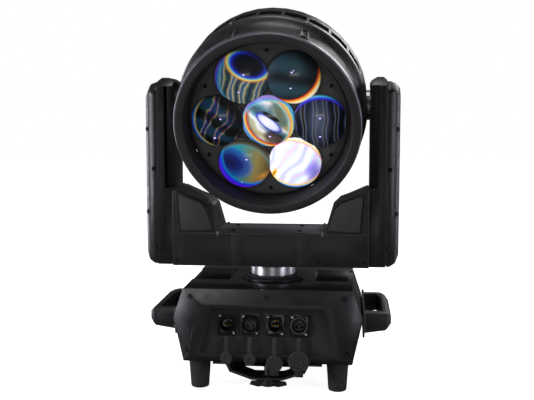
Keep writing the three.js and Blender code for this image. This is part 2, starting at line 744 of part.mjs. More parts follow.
function fanRotor() {
  const hub = rod("y", 18, 84, 100);
  const blades = Array.from({ length: 7 }, (_, i) => {
    const blade = new THREE.BoxGeometry(24, 2, 13).rotateX(THREE.MathUtils.degToRad(35));
    return solid(blade.translate(26, 92, 0).rotateY((i * 2 * Math.PI) / 7));
  });
  return join(hub, ...blades);
}
add(head, "fan_rotor", fanRotor(), BLACK_PLASTIC);

/** A tilt axle: a hub between head and arm, and a journal in the arm's bearing. Drawn on the right. */
const tiltShaft = join(
  rod("x", HUB_RADIUS, 129.7, ARM_INNER - 0.8),
  rod("x", AXLE_RADIUS, 135, JOURNAL_END),
);
add(head, "tilt_shaft_right", tiltShaft, STEEL);
const tiltPulley = rod("x", TILT_PULLEY, -TILT_BELT.outer, -TILT_BELT.inner);
add(head, "tilt_shaft_left", join(mirrored(tiltShaft), tiltPulley), STEEL);

// ---- Zoom carriage, lens plate and lenses ----
const CARRIAGE = {
  front: LENS_FRONT - 2,
  back: LENS_FRONT - 18,
  inner: PLATE_RADIUS + 0.5,
  outer: 114.5,
  lip: 103, // radius of the hole that the lens plate's back shows through
};
function zoomCarriage() {
  const ring = turnHead([
    [CARRIAGE.inner, CARRIAGE.front],
    [CARRIAGE.outer, CARRIAGE.front],
    [CARRIAGE.outer, CARRIAGE.back],
    [CARRIAGE.lip, CARRIAGE.back],
    [CARRIAGE.lip, CARRIAGE.back + 4],
    [CARRIAGE.inner, CARRIAGE.back + 4],
  ]);
  const ears = [...GUIDES, ZOOM_MOTOR_ANGLE].map((angle) => {
    const back = -CARRIAGE.back;
    const ear = new THREE.BoxGeometry(13, 6, 14).translate(GUIDE_CIRCLE - 1, back - 3, 0);
    const hole = rod("y", 3.4, back - 10, back + 5, [GUIDE_CIRCLE, 0, 0], 8);
    const bored = cut(solid(ear), hole);
    return solid(geometryOf(bored).rotateY(-THREE.MathUtils.degToRad(angle)));
  });
  return join(ring, ...ears);
}
add(head, "zoom_carriage", zoomCarriage(), BLACK_PLASTIC);

const LENS_SEAT = LENS_FRONT - 8;
const HALF_CELL = LENS_PITCH / 2;
const LENS_FACETS = 30;
/** Flat sides towards the neighbours at the given directions, on a round bar of lens size. */
function lensCell(grow, flats, from, to) {
  const bar = rod("y", LENS_RADIUS + grow, -to, -from, [0, 0, 0], LENS_FACETS);
  const flat = HALF_CELL - 0.4 + grow;
  return flats.reduce((body, angle) => {
    const beyond = new THREE.BoxGeometry(30, 80, 120).translate(flat + 15, -LENS_FRONT, 0);
    return body.subtract(solid(beyond.rotateY(-THREE.MathUtils.degToRad(angle))));
  }, bar);
}
const flatsOf = (i) => {
  if (i === 0) return SIX_WAYS;
  const out = (i - 1) * 60;
  return [out + 120, out + 180, out + 240];
};
const lensPlate = cut(
  rod("y", PLATE_RADIUS, -LENS_FRONT, -LENS_FRONT + 12, [0, 0, 0], FINE),
  ...lensCentres.map((at, i) => {
    const cell = geometryOf(lensCell(0.5, flatsOf(i), LENS_SEAT, LENS_FRONT + 1));
    return solid(cell.translate(...at));
  }),
  ...lensCentres.map((at) => rod("y", 31, -LENS_SEAT - 1, -LENS_FRONT + 20, at)),
);
add(head, "lens_plate", lensPlate, PLATE_GREY);

const LENS_EDGE = LENS_FRONT + 2; // where the dome starts
const DOME_HEIGHT = 9.5;
/** A plano-convex lens with its flat back on the seat. */
function lens(flats) {
  const domeRadius = (LENS_RADIUS ** 2 + DOME_HEIGHT ** 2) / (2 * DOME_HEIGHT);
  const crown = [0, 0.35, 0.7, 1].map((share) => {
    const r = share * LENS_RADIUS;
    return [r, LENS_EDGE + Math.sqrt(domeRadius ** 2 - r ** 2) - domeRadius + DOME_HEIGHT];
  });
  const back = LENS_SEAT + GAP;
  const body = turnHead([...crown, [LENS_RADIUS, back], [0, back]], LENS_FACETS);
  return body.intersect(lensCell(0, flats, LENS_SEAT, LENS_FRONT + 20));
}
lensCentres.forEach((at, i) => {
  const name = i === 0 ? "lens_centre" : `lens_${i}`;
  add(head, name, solid(geometryOf(lens(flatsOf(i))).translate(...at)), LENS_PLASTIC);
});

export default light;
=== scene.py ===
# %% [markdown]
# # A moving head light
# A stage light in black: a round head with seven lenses tilts in a yoke, and the yoke pans on a base.
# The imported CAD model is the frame. Each cell below gives one piece its real surface, or adds a piece that the
# frame has no room for. Everything is in metres, Z up, with the lenses facing -Y.

# %% Load the frame
import json
import math

import bpy
from mathutils import Matrix, Vector


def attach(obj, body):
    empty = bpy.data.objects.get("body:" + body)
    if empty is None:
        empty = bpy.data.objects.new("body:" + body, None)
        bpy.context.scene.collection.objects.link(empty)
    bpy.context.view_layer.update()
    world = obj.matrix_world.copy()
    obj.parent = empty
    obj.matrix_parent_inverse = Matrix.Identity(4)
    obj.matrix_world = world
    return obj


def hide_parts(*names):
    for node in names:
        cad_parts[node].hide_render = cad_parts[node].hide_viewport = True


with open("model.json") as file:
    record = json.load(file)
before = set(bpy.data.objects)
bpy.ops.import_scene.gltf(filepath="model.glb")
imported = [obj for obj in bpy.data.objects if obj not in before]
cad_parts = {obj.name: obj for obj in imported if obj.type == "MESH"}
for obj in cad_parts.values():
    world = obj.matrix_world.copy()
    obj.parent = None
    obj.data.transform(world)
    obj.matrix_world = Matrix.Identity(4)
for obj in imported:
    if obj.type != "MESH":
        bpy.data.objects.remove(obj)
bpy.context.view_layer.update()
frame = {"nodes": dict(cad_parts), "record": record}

MM = 0.001

# %% [markdown]
# ## Camera, light and floor
# The object is black and satin, so what the eye sees is mostly reflection. A pale room all round gives the soft
# grey sheen, and a few large lamps draw the bright lines along the edges. The camera sees the room as plain white.

# %% Camera
EYE = (0.115, -1.270, 0.3895)
PITCH = 5.58  # degrees down
YAW = 5.6  # degrees towards -X

bpy.ops.object.camera_add(location=EYE, rotation=(math.radians(90 - PITCH), 0, math.radians(YAW)))
camera = bpy.context.object
camera.data.lens = 57.3
camera.data.sensor_width = 36
bpy.context.scene.camera = camera
bpy.context.scene.view_settings.view_transform = "Standard"
print("camera", camera.data.lens, "mm")


# %% A small node maker, and a colour as it is written on a paint card
def linear(hex_colour):
    """An sRGB hex colour as the linear RGBA that shaders work in."""
    shares = [int(hex_colour[i : i + 2], 16) / 255 for i in (1, 3, 5)]
    return tuple(c / 12.92 if c <= 0.04045 else ((c + 0.055) / 1.055) ** 2.4 for c in shares) + (1,)


def add_node(tree, kind, settings=None, inputs=None):
    """Adds one node. An input is a plain value, or another node's output that is linked to it."""
    node = tree.nodes.new("ShaderNode" + kind)
    for name, value in (settings or {}).items():
        setattr(node, name, value)
    for name, value in (inputs or {}).items():
        if isinstance(value, bpy.types.NodeSocket):
            tree.links.new(value, node.inputs[name])
        else:
            node.inputs[name].default_value = value
    return node


# %% Room light: white to the camera, a softer grey to the object
ROOM_GREY = 0.07
world = bpy.data.worlds.new("pale_room")
bpy.context.scene.world = world
world.use_nodes = True
world.node_tree.nodes.clear()
path = add_node(world.node_tree, "LightPath")
seen = add_node(world.node_tree, "Background", inputs={"Color": (1, 1, 1, 1), "Strength": 1.0})
felt = add_node(world.node_tree, "Background", inputs={"Color": (1, 1, 1, 1), "Strength": ROOM_GREY})
room = add_node(world.node_tree, "MixShader",
                inputs={0: path.outputs["Is Camera Ray"], 1: felt.outputs[0], 2: seen.outputs[0]})
add_node(world.node_tree, "OutputWorld", inputs={"Surface": room.outputs[0]})


def lamp(name, place, aim, size, watts, colour=(1, 1, 1)):
    """A soft lamp, as wide and high as size says, at a place and aimed at a point."""
    bpy.ops.object.light_add(type="AREA", location=place)
    made = bpy.context.object
    made.name = name
    made.data.shape = "RECTANGLE"
    made.data.size, made.data.size_y = size
    made.data.energy = watts
    made.data.color = colour
    made.rotation_euler = (Vector(aim) - Vector(place)).to_track_quat("-Z", "Y").to_euler()
    made.visible_camera = False


lamp("key_lamp", (-0.7, -1.5, 1.9), (0, 0, 0.3), (0.9, 0.6), 12)
# Two strips on each side stand where the outer covers' two bevels mirror them to the camera.
LILAC = (0.93, 0.87, 1.0)
lamp("left_front_strip", (-1.51, -0.71, 0.45), (-0.19, 0, 0.33), (0.28, 1.1), 20, LILAC)
lamp("left_back_strip", (-1.46, 0.80, 0.45), (-0.19, 0, 0.33), (0.28, 1.1), 9, LILAC)
lamp("right_front_strip", (1.36, -0.93, 0.45), (0.19, 0, 0.33), (0.28, 1.1), 8, LILAC)
lamp("right_back_strip", (1.58, 0.56, 0.45), (0.19, 0, 0.33), (0.28, 1.1), 6, LILAC)
lamp("top_lamp", (0.1, 0.15, 1.8), (0, 0, 0.3), (0.8, 0.8), 6)
# A small low lamp in front gives the turned spindle its bright line.
lamp("spindle_lamp", (0.02, -1.05, 0.06), (0, 0, 0.16), (0.34, 0.12), 0.3)
lamp("back_lamp", (0.9, 1.5, 1.3), (0, 0, 0.3), (0.9, 0.9), 11)
print("room", ROOM_GREY)

# %% Floor
bpy.ops.mesh.primitive_plane_add(size=14)
floor = bpy.context.object
floor.name = "studio_floor"
floor_paint = bpy.data.materials.new("matt_white_floor_paint")
floor_paint.use_nodes = True
floor_shader = floor_paint.node_tree.nodes["Principled BSDF"]
floor_shader.inputs["Base Color"].default_value = linear("#f4f4f4")
floor_shader.inputs["Roughness"].default_value = 0.9
floor_shader.inputs["Emission Color"].default_value = (1, 1, 1, 1)
# It glows for the camera alone, a little more with distance, so that its far edge melts into the white room.
floor_nodes = floor_paint.node_tree
place = add_node(floor_nodes, "TexCoord")
reach = add_node(floor_nodes, "VectorMath", {"operation": "LENGTH"}, {0: place.outputs["Object"]})
glow = add_node(floor_nodes, "MapRange",
                inputs={"Value": reach.outputs["Value"], "From Min": 0.3, "From Max": 1.8,
                                                "To Min": 0.88, "To Max": 1.0})
to_camera = add_node(floor_nodes, "LightPath")
strength = add_node(floor_nodes, "Math", {"operation": "MULTIPLY"},
                    {0: glow.outputs["Result"], 1: to_camera.outputs["Is Camera Ray"]})
floor_nodes.links.new(strength.outputs[0], floor_shader.inputs["Emission Strength"])
floor.data.materials.append(floor_paint)
floor.visible_glossy = False  # a black object would mirror it as a pale haze

# %% [markdown]
# ## Finishes
# Black is many blacks here. Spark-eroded ABS covers have a fine matt grain, the sheet steel is powder coated with
# a slight orange peel, rubber is duller and dusty, and every moulded edge is painted a little paler: a painted
# highlight along the edge, with the rub of handling.
# One recipe makes them all: a cloudy tint, a grain of real size as bump, and a roughness that wanders.


# %% The recipe for a grained, solid-coloured surface
def new_finish(name):
    """An empty node material with its object coordinates."""
    material = bpy.data.materials.new(name)
    material.use_nodes = True
    material.node_tree.nodes.clear()
    return material, material.node_tree


def grained(name, colour, tint, grain_mm, grain_height, rough, metallic=0.0, cloud_mm=45, coat=0.0,
            stretch=(1, 1, 1)):
    """A surface whose colour drifts to a tint, with a grain of that size and height in millimetres."""
    material, tree = new_finish(name)
    place = add_node(tree, "TexCoord").outputs["Object"]
    along = add_node(tree, "Mapping", inputs={"Vector": place, "Scale": stretch}).outputs[0]
    cloud = add_node(tree, "TexNoise", inputs={"Vector": along, "Scale": 1 / (cloud_mm * MM), "Detail": 3.0})
    share = add_node(tree, "MapRange", inputs={"Value": cloud.outputs["Fac"], 1: 0.35, 2: 0.7})
    mixed = add_node(tree, "Mix", {"data_type": "RGBA"},
                     {0: share.outputs[0], 6: linear(colour), 7: linear(tint)})
    wander = add_node(tree, "TexNoise", inputs={"Vector": along, "Scale": 1 / (14 * MM), "Detail": 4.0})
    gloss = add_node(tree, "MapRange", inputs={"Value": wander.outputs["Fac"], 1: 0.3, 2: 0.7, 3: rough[0],
                                               4: rough[1]})
    grain = add_node(tree, "TexNoise", inputs={"Vector": along, "Scale": 1 / (grain_mm * MM), "Detail": 2.0})
    bump = add_node(tree, "Bump", inputs={"Height": grain.outputs["Fac"], "Strength": 0.5,
                                          "Distance": grain_height * MM})
    shader = add_node(tree, "BsdfPrincipled", inputs={
        "Base Color": mixed.outputs[2], "Roughness": gloss.outputs[0], "Normal": bump.outputs[0],
        "Metallic": metallic, "Coat Weight": coat, "Coat Roughness": 0.25})
    add_node(tree, "OutputMaterial", inputs={"Surface": shader.outputs[0]})
    return material


# %% Blacks, greys and bare metal
# Spark-eroded ABS: a fine dry grain, real pits near 0.3 mm, drawn at 1.1 mm so that they show.
moulded_abs = grained("spark_eroded_black_abs", "#121213", "#1a1a1a", 1.1, 0.16, (0.33, 0.46))
# The same plastic on its edges, paler and smoother: a painted highlight along each edge, with the polish that hands
# and cases give it.
rubbed_abs_with_painted_highlight = grained("painted_highlight_and_rubbed_edge_of_black_abs", "#343433", "#242424", 1.1, 0.08, (0.26, 0.38))
# Powder-coated sheet steel: orange peel of about 2.5 mm, a little glossier than the covers.
powder_coat = grained("black_powder_coated_steel", "#111112", "#181819", 2.5, 0.10, (0.28, 0.40))
# Its edges are paler: a painted highlight along each edge, with wear.
powder_edge_with_painted_highlight = grained("painted_highlight_and_rubbed_edge_of_powder_coat", "#373737", "#242424", 2.5, 0.05, (0.28, 0.40))
# Satin dark grey of the bezel ring: a finer grain, so that the ring reads softer and lighter than the drum.
bezel_abs = grained("satin_charcoal_abs", "#1c1c1c", "#242423", 0.8, 0.06, (0.42, 0.52))
# The bright lip of the bezel is a painted highlight along its outer edge.
bezel_edge_painted_highlight = grained("painted_highlight_on_edge_of_charcoal_abs", "#55545e", "#3c3b42", 0.8, 0.04, (0.26, 0.36))
# Inner wall of the head, sprayed matt so that it throws no stray light.
anti_glare = grained("matt_black_anti_glare_paint", "#0a0a0a", "#121211", 1.2, 0.08, (0.55, 0.75))
# Glass-filled nylon of handles and sockets: faint flow clouds and a waxy sheen.
nylon = grained("black_glass_filled_nylon", "#161618", "#202021", 0.7, 0.07, (0.40, 0.55), cloud_mm=18)
# Its edges are paler: a painted highlight along each edge, with wear.
nylon_edge_with_painted_highlight = grained("painted_highlight_and_worn_edge_of_black_nylon", "#3a3a3d", "#29292b", 0.7, 0.05, (0.34, 0.46))
# Diecast socket flanges under glossy black enamel.
enamel = grained("glossy_black_enamel", "#080809", "#0e0e10", 1.5, 0.03, (0.14, 0.24))
# Pads of the corner blocks: the dull, brownish black of a part moulded apart from its cover.
pad_black = grained("dull_black_inlaid_pad", "#2b2a28", "#232322", 0.9, 0.14, (0.55, 0.7))
# The bottom of a groove, where hardly any light arrives.
groove_black = grained("shaded_groove_black", "#030303", "#070707", 0.8, 0.04, (0.8, 0.95))
# Vulcanised rubber with talc in its pores.
rubber = grained("black_vulcanised_rubber", "#1b1b1b", "#262625", 0.9, 0.12, (0.62, 0.82), cloud_mm=12)
rubber_rib = grained("dusty_rubber_rib", "#333332", "#272727", 0.9, 0.08, (0.6, 0.8), cloud_mm=12)
# Matt dark grey paint of the lens plate, with the grain of a zinc casting under it.
plate_paint = grained("matt_grey_painted_zinc_casting", "#3a3a37", "#30302e", 1.6, 0.10, (0.48, 0.62))
# Its edges are paler: a painted highlight along each edge.
plate_edge_painted_highlight = grained("painted_highlight_on_edge_of_grey_casting", "#6a6a66", "#55554f", 1.6, 0.05, (0.4, 0.5))
# Zinc-plated steel: bluish, with a soft mottle from the passivation bath.
zinc = grained("zinc_plated_steel", "#9a9da1", "#84888f", 1.4, 0.03, (0.28, 0.46), metallic=1.0, cloud_mm=9)
# Nickel-plated screws: small, warm and bright.
nickel = grained("nickel_plated_screw", "#d8d5cc", "#b5b1a6", 0.8, 0.02, (0.2, 0.35), metallic=1.0,
                 cloud_mm=5)
# Black oxide on socket screws: oily, dark and slightly metallic.
black_oxide = grained("black_oxide_screw_steel", "#161617", "#26262a", 0.8, 0.03, (0.25, 0.45), metallic=0.8,
                      cloud_mm=6)
# Sand-cast aluminium of the heatsink: a coarse 1.5 mm sand grain.
cast_alloy = grained("sand_cast_aluminium", "#8f9194", "#a3a5a8", 1.5, 0.12, (0.42, 0.6), metallic=1.0,
                     cloud_mm=25)
# Grey anodised, brushed aluminium sheet: lines run along X, so the noise is stretched 30 times that way.
brushed_alloy = grained("grey_anodised_brushed_sheet", "#85878c", "#6c6e73", 1.0, 0.08, (0.4, 0.55),
                        metallic=1.0, stretch=(0.033, 1, 1))
# Gold flash over nickel on the contacts.
gold = grained("gold_flashed_contact", "#e2b54a", "#c8952d", 0.6, 0.02, (0.18, 0.3), metallic=1.0, cloud_mm=3)
dark_core = grained("dark_polyamide_insert", "#1d1d1c", "#262627", 0.8, 0.05, (0.5, 0.62), cloud_mm=8)
print(len(bpy.data.materials), "finishes so far")

# %% [markdown]
# ### Turned aluminium
# The spindle comes off a lathe, so its finish is rings round the pan axis. A wave texture over the height gives
# the feed marks. Real marks are 0.1 mm apart; they are drawn 0.9 mm apart so that they show.

# %% Turned aluminium
turned_alloy, tree = new_finish("lathe_turned_aluminium")
spindle_place = add_node(tree, "TexCoord").outputs["Object"]
FEED = 0.9 * MM
marks = add_node(tree, "TexWave", {"bands_direction": "Z"}, {
    "Vector": spindle_place, "Scale": 2 * math.pi / (20 * FEED), "Distortion": 0.0, "Detail": 0.0})
tone = add_node(tree, "Mix", {"data_type": "RGBA"},
                {0: marks.outputs["Fac"], 6: linear("#b9bbbe"), 7: linear("#dcdddf")})
mark_bump = add_node(tree, "Bump", inputs={"Height": marks.outputs["Fac"], "Strength": 0.2,
                                           "Distance": 0.01 * MM})
metal = add_node(tree, "BsdfPrincipled", inputs={
    "Base Color": tone.outputs[2], "Metallic": 1.0, "Roughness": 0.34, "Normal": mark_bump.outputs[0]})
add_node(tree, "OutputMaterial", inputs={"Surface": metal.outputs[0]})

# %% [markdown]
# ### Circuit boards
# A green solder mask over copper. The tracks stand slightly proud, on a 2.54 mm grid, so a brick pattern of that
# pitch serves as the layout.

# %% Solder mask
solder_mask, tree = new_finish("green_solder_mask_on_copper")
board_place = add_node(tree, "TexCoord").outputs["Object"]
upright = add_node(tree, "Mapping", inputs={"Vector": board_place,
                                            "Rotation": (math.radians(90), 0, 0)}).outputs[0]
tracks = add_node(tree, "TexBrick", inputs={
    "Vector": upright, "Color1": linear("#1d5a34"), "Color2": linear("#1a4f30"), "Mortar": linear("#2f7a47"),
    "Scale": 1 / (2.54 * 4 * MM), "Mortar Size": 0.03, "Brick Width": 1.0, "Row Height": 0.25})
board_bump = add_node(tree, "Bump", inputs={"Height": tracks.outputs["Fac"], "Strength": 0.4,
                                            "Distance": 0.05 * MM})
mask = add_node(tree, "BsdfPrincipled", inputs={
    "Base Color": tracks.outputs["Color"], "Roughness": 0.32, "Normal": board_bump.outputs[0]})
add_node(tree, "OutputMaterial", inputs={"Surface": mask.outputs[0]})
print("board pitch 2.54 mm")

# %% [markdown]
# ## Working by hand, in code
# The operators of edit mode act on whatever is selected. These helpers clear the selection first, then select
# faces, edges or points by where they are and which way they look.


# %% Selecting
def only(piece):
    """Makes one object the only selected and active one."""
    if bpy.context.object and bpy.context.object.mode != "OBJECT":
        bpy.ops.object.mode_set(mode="OBJECT")
    bpy.ops.object.select_all(action="DESELECT")
    piece.select_set(True)
    bpy.context.view_layer.objects.active = piece


def edit(piece, kind, wanted):
    """Opens edit mode with only those faces, edges or points selected whose middle and direction pass a test."""
    only(piece)
    bpy.ops.object.mode_set(mode="EDIT")
    bpy.ops.mesh.select_mode(type=kind)
    bpy.ops.mesh.select_all(action="DESELECT")
    bpy.ops.object.mode_set(mode="OBJECT")
    points = piece.data.vertices
    for item in {"VERT": points, "EDGE": piece.data.edges, "FACE": piece.data.polygons}[kind]:
        if kind == "VERT":
            item.select = wanted(item.co, item.normal)
        elif kind == "FACE":
            item.select = wanted(item.center, item.normal)
        else:
            a, b = (points[i].co for i in item.vertices)
            item.select = wanted((a + b) / 2, (b - a).normalized())
    bpy.ops.object.mode_set(mode="EDIT")


def close_edit():
    bpy.ops.object.mode_set(mode="OBJECT")


def round_edges(piece, width, segments=2, sharper_than=28, edge_slot=-1):
    """Rounds the sharp edges with a Bevel modifier, applied, and smooths what is not sharp."""
    only(piece)
    bevel = piece.modifiers.new("rounded_edges", "BEVEL")
    bevel.width = width * MM
    bevel.segments = segments
    bevel.limit_method = "ANGLE"
    bevel.angle_limit = math.radians(sharper_than)
    bevel.material = edge_slot
    bpy.ops.object.modifier_apply(modifier=bevel.name)
    bpy.ops.object.shade_smooth_by_angle(angle=math.radians(30))


def finish_piece(piece, name, body, replaced=()):
    """Names a finished piece, lets it ride on its body, hides the CAD nodes it replaces and prints its face count.
    """
    piece.name = name
    piece.data.name = name
    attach(piece, body)
    if replaced:
        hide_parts(*replaced)
    print(f"{name}: {len(piece.data.polygons)} faces on {body}")
    return piece


def paint(piece, *materials):
    piece.data.materials.clear()
    for material in materials:
        piece.data.materials.append(material)


# %% [markdown]
# ## Castings and covers
# The arms, covers and housing already have their true outline in the frame, but with knife-sharp edges. A real
# moulding has a radius on each edge, and that thin line is what catches the light. So the mesh is copied, its
# loose triangles are joined into whole faces, and a bevel with its own, paler finish is cut along the edges: a
# painted highlight on each edge, with some wear.

# %% Rounding a copy of a CAD node
body_of_node = {node: body for body,
                nodes in frame["record"]["behaviour"]["bodies"].items() for node in nodes}


def refined(node, radius, face_finish, edge_finish, segments=2, sharper_than=28):
    """A copy of a CAD node with whole faces and rounded edges, which then stands for the node."""
    piece = frame["nodes"][node].copy()
    piece.data = piece.data.copy()
    piece.parent = None
    for key in list(piece.keys()):
        del piece[key]
    bpy.context.scene.collection.objects.link(piece)
    paint(piece, face_finish, edge_finish)
    only(piece)
    bpy.ops.mesh.customdata_custom_splitnormals_clear()
    bpy.ops.object.mode_set(mode="EDIT")
    bpy.ops.mesh.select_all(action="SELECT")
    bpy.ops.mesh.remove_doubles(threshold=2e-5)
    bpy.ops.mesh.dissolve_limited(angle_limit=math.radians(1.0))
    close_edit()
    round_edges(piece, radius, segments, sharper_than, edge_slot=1)
    return finish_piece(piece, node + "_rounded", body_of_node[node], [node])


REFINED = {
    "base_shell": (1.0, powder_coat, powder_edge_with_painted_highlight),
    "base_front_cover": (1.1, moulded_abs, rubbed_abs_with_painted_highlight),
    "base_rear_cover": (1.1, moulded_abs, rubbed_abs_with_painted_highlight),
    "handle_left": (1.2, nylon, nylon_edge_with_painted_highlight),
    "handle_right": (1.2, nylon, nylon_edge_with_painted_highlight),
    "yoke_arm_left": (0.9, powder_coat, powder_edge_with_painted_highlight),
    "yoke_arm_right": (0.9, powder_coat, powder_edge_with_painted_highlight),
    "arm_cover_left": (2.0, moulded_abs, rubbed_abs_with_painted_highlight),
    "arm_cover_right": (2.0, moulded_abs, rubbed_abs_with_painted_highlight),
    "yoke_front_cover": (1.4, moulded_abs, rubbed_abs_with_painted_highlight),
    "yoke_rear_cover": (1.4, moulded_abs, rubbed_abs_with_painted_highlight),
    "yoke_bridge": (1.2, brushed_alloy, brushed_alloy),
    "head_rear_cover": (0.9, moulded_abs, rubbed_abs_with_painted_highlight),
    "display_panel": (0.5, nylon, nylon_edge_with_painted_highlight),
    "omega_bracket_front": (0.6, powder_coat, powder_edge_with_painted_highlight),
    "omega_bracket_rear": (0.6, powder_coat, powder_edge_with_painted_highlight),
    "wing_bolt_front": (0.9, nylon, nylon_edge_with_painted_highlight),
    "wing_bolt_rear": (0.9, nylon, nylon_edge_with_painted_highlight),
    "lens_plate": (0.7, plate_paint, plate_edge_painted_highlight),
    "signal_in_cap": (0.5, rubber, rubber_rib),
    "signal_out_cap": (0.5, rubber, rubber_rib),
    "power_in_cap": (0.7, rubber, rubber_rib),
    "power_out_cap": (0.7, rubber, rubber_rib),
}
rounded = {node: refined(node, *how) for node, how in REFINED.items()}
# The handles' flanges end just above the bail, so their tops come down with their rounded edges.
FLANGE_TOP, FLANGE_DROP = 113 * MM, 6.5 * MM
for side in ("left", "right"):
    edit(rounded["handle_" + side], "VERT", lambda at, way: at.z > FLANGE_TOP)
    bpy.ops.transform.translate(value=(0, 0, -FLANGE_DROP))
    close_edit()

# %% [markdown]
# ## Internal parts that keep their CAD shape
# Motors, pulleys, bearings and the heatsink sit out of sight, so their shape stays and they only get the finish
# of the real thing.

# %% Finishes for the internal nodes
INTERNAL = {
    zinc: ["pan_motor", "tilt_motor", "zoom_motor", "zoom_screw", "tilt_bearing_left", "tilt_bearing_right",
           "tilt_shaft_left", "tilt_shaft_right"],
    turned_alloy: ["pan_motor_pulley", "tilt_motor_pulley"],
    cast_alloy: ["heatsink"],
    solder_mask: ["led_board"],
    nylon: ["fan_rotor", "zoom_carriage"],
}
for internal_finish, nodes in INTERNAL.items():
    for node in nodes:
        frame["nodes"][node].data.materials.clear()
        frame["nodes"][node].data.materials.append(internal_finish)
print(sum(len(nodes) for nodes in INTERNAL.values()), "internal nodes painted")

# %% [markdown]
# ## Turned and round pieces
# Bezel, drum, feet, sockets and lenses are round. Each starts as one point that is extruded along the profile of
# its wall, and the profile is then spun round its axis, as on a lathe.

# %% Spinning a profile
TILT_AXIS = Vector((0, 0, 0.407))
REST_TILT = math.radians(17.5)
HEAD = Matrix.Translation(TILT_AXIS) @ Matrix.Rotation(REST_TILT, 4, "X")


def spun(profile, axis="y", steps=96):
    """A wall turned about an axis. Its profile is a list of (radius, distance along the axis) in millimetres."""
    closed = profile[0][0] > 0 or profile[-1][0] > 0
    ring = profile + [profile[0]] if closed else profile
    stations = [Vector((r, at, 0) if axis == "y" else (r, 0, at)) * MM for r, at in ring]
    bpy.ops.object.select_all(action="DESELECT")
    bpy.ops.mesh.primitive_plane_add(size=MM)
    piece = bpy.context.object
    bpy.ops.object.mode_set(mode="EDIT")
    bpy.ops.mesh.select_mode(type="VERT")
    bpy.ops.mesh.select_all(action="SELECT")
    bpy.ops.mesh.merge(type="CENTER")
    bpy.ops.transform.translate(value=stations[0])
    for here, there in zip(stations, stations[1:]):
        bpy.ops.mesh.extrude_region_move(TRANSFORM_OT_translate={"value": there - here})
    bpy.ops.mesh.select_all(action="SELECT")
    about = (0, 1, 0) if axis == "y" else (0, 0, 1)
    bpy.ops.mesh.spin(steps=steps, angle=2 * math.pi, center=(0, 0, 0), axis=about)
    bpy.ops.mesh.select_all(action="SELECT")
    bpy.ops.mesh.remove_doubles(threshold=2e-6)
    bpy.ops.mesh.normals_make_consistent(inside=False)
    close_edit()
    only(piece)
    bpy.ops.object.shade_smooth_by_angle(angle=math.radians(32))
    return piece


def settle(piece, place):
    """Puts a mesh in its place and applies that place, so that its object stays at the origin."""
    only(piece)
    piece.matrix_world = place @ piece.matrix_world
    bpy.ops.object.transform_apply(location=True, rotation=True, scale=True)
    return piece


def forward(profile):
    """A head profile: distances are measured forward from the tilt axis, which is towards -Y."""
    return [(radius, -distance) for radius, distance in profile]


# %% The front bezel ring
# Its front face is broad and satin, with a fine lip at its outer edge that is painted brighter: a painted
# highlight. Inside, the wall runs back to the lens plate and is sprayed matt.
bezel = spun(forward([
    (120, 94), (131, 94), (131, 104), (130.4, 106), (129.2, 107.4), (127.5, 108), (119.6, 108),
    (118.2, 107.4),
    (117.4, 106), (116.8, 103), (114.8, 75), (117.2, 75),
]), steps=128)
paint(bezel, bezel_abs, bezel_edge_painted_highlight, anti_glare)
# Painted highlight: the outer lip gets the paler edge colour; the inner wall gets the matt anti-glare paint.
for face in bezel.data.polygons:
    reach = math.hypot(face.center.x, face.center.z) / MM
    if reach > 129.4 and face.normal.y < 0.3:
        face.material_index = 1
    elif reach < 117.2:
        face.material_index = 2
finish_piece(settle(bezel, HEAD), "front_bezel_turned", "head", ["front_bezel"])

# %% The drum behind it
# A waisted neck that flares to the rim. The neck is concave, so it stays dark, and the rounded rim takes the light,
# which is also painted on it as a paler colour: a painted highlight.
drum = spun(forward([
    (127.5, 93.7), (127.4, 70), (127.6, 58), (128.4, 50), (130.4, 43), (133.6, 38), (136.6, 35),
    (138.4, 32.6),
    (139, 30), (139, 24), (135, 24), (135, 31), (127.5, 42), (124.5, 58), (124.5, 93.7),
]), steps=128)
paint(drum, moulded_abs, rubbed_abs_with_painted_highlight)
# Painted highlight: the faces of the rounded rim get the paler edge colour.
for face in drum.data.polygons:
    reach = math.hypot(face.center.x, face.center.z) / MM
    if reach > 136 and face.center.y / MM > -37:
        face.material_index = 1
finish_piece(settle(drum, HEAD), "head_casing_turned", "head", ["head_casing"])

# %% Pan bearing ring and spindle
bearing = spun([(34, 126), (42, 126), (42, 147.3), (44.2, 147.3), (45, 148), (45, 149.4), (44.4, 150.2),
                (38, 151),
                (34, 151)], axis="z", steps=96)
paint(bearing, powder_coat)
finish_piece(bearing, "pan_bearing_turned", "base", ["pan_bearing"])
spindle = spun([(22, 108), (33.5, 108), (33.5, 112), (48, 112), (48, 124), (33.5, 124), (33.5, 153),
                (32.7, 153.6),
                (32.7, 155), (33.5, 155.6), (33.5, 166), (33.5, 172.7), (22, 172.7)], axis="z", steps=96)
paint(spindle, turned_alloy)
finish_piece(spindle, "pan_spindle_turned", "yoke", ["pan_spindle"])

# A rubber seal lies round the foot of the spindle and keeps dust out of the bearing.
seal = spun([(33.9, 151.1), (36.6, 151.1), (36.6, 153.2), (35.8, 154.2), (34.3, 154.2), (33.9, 153.8)],
            axis="z", steps=96)
paint(seal, rubber)
finish_piece(seal, "pan_dust_seal", "base")

# %% Feet
# A tapered rubber foot with a moulded collar at its root and a ring of grip at its sole.
foot = spun([(0, 1), (8.5, 1), (9.5, 0), (11, 0), (12.6, 0.8), (13.1, 2.6), (13.4, 6), (15.4, 35), (16, 37),
             (16, 41.7),
             (0, 41.7)], axis="z", steps=48)
paint(foot, rubber)


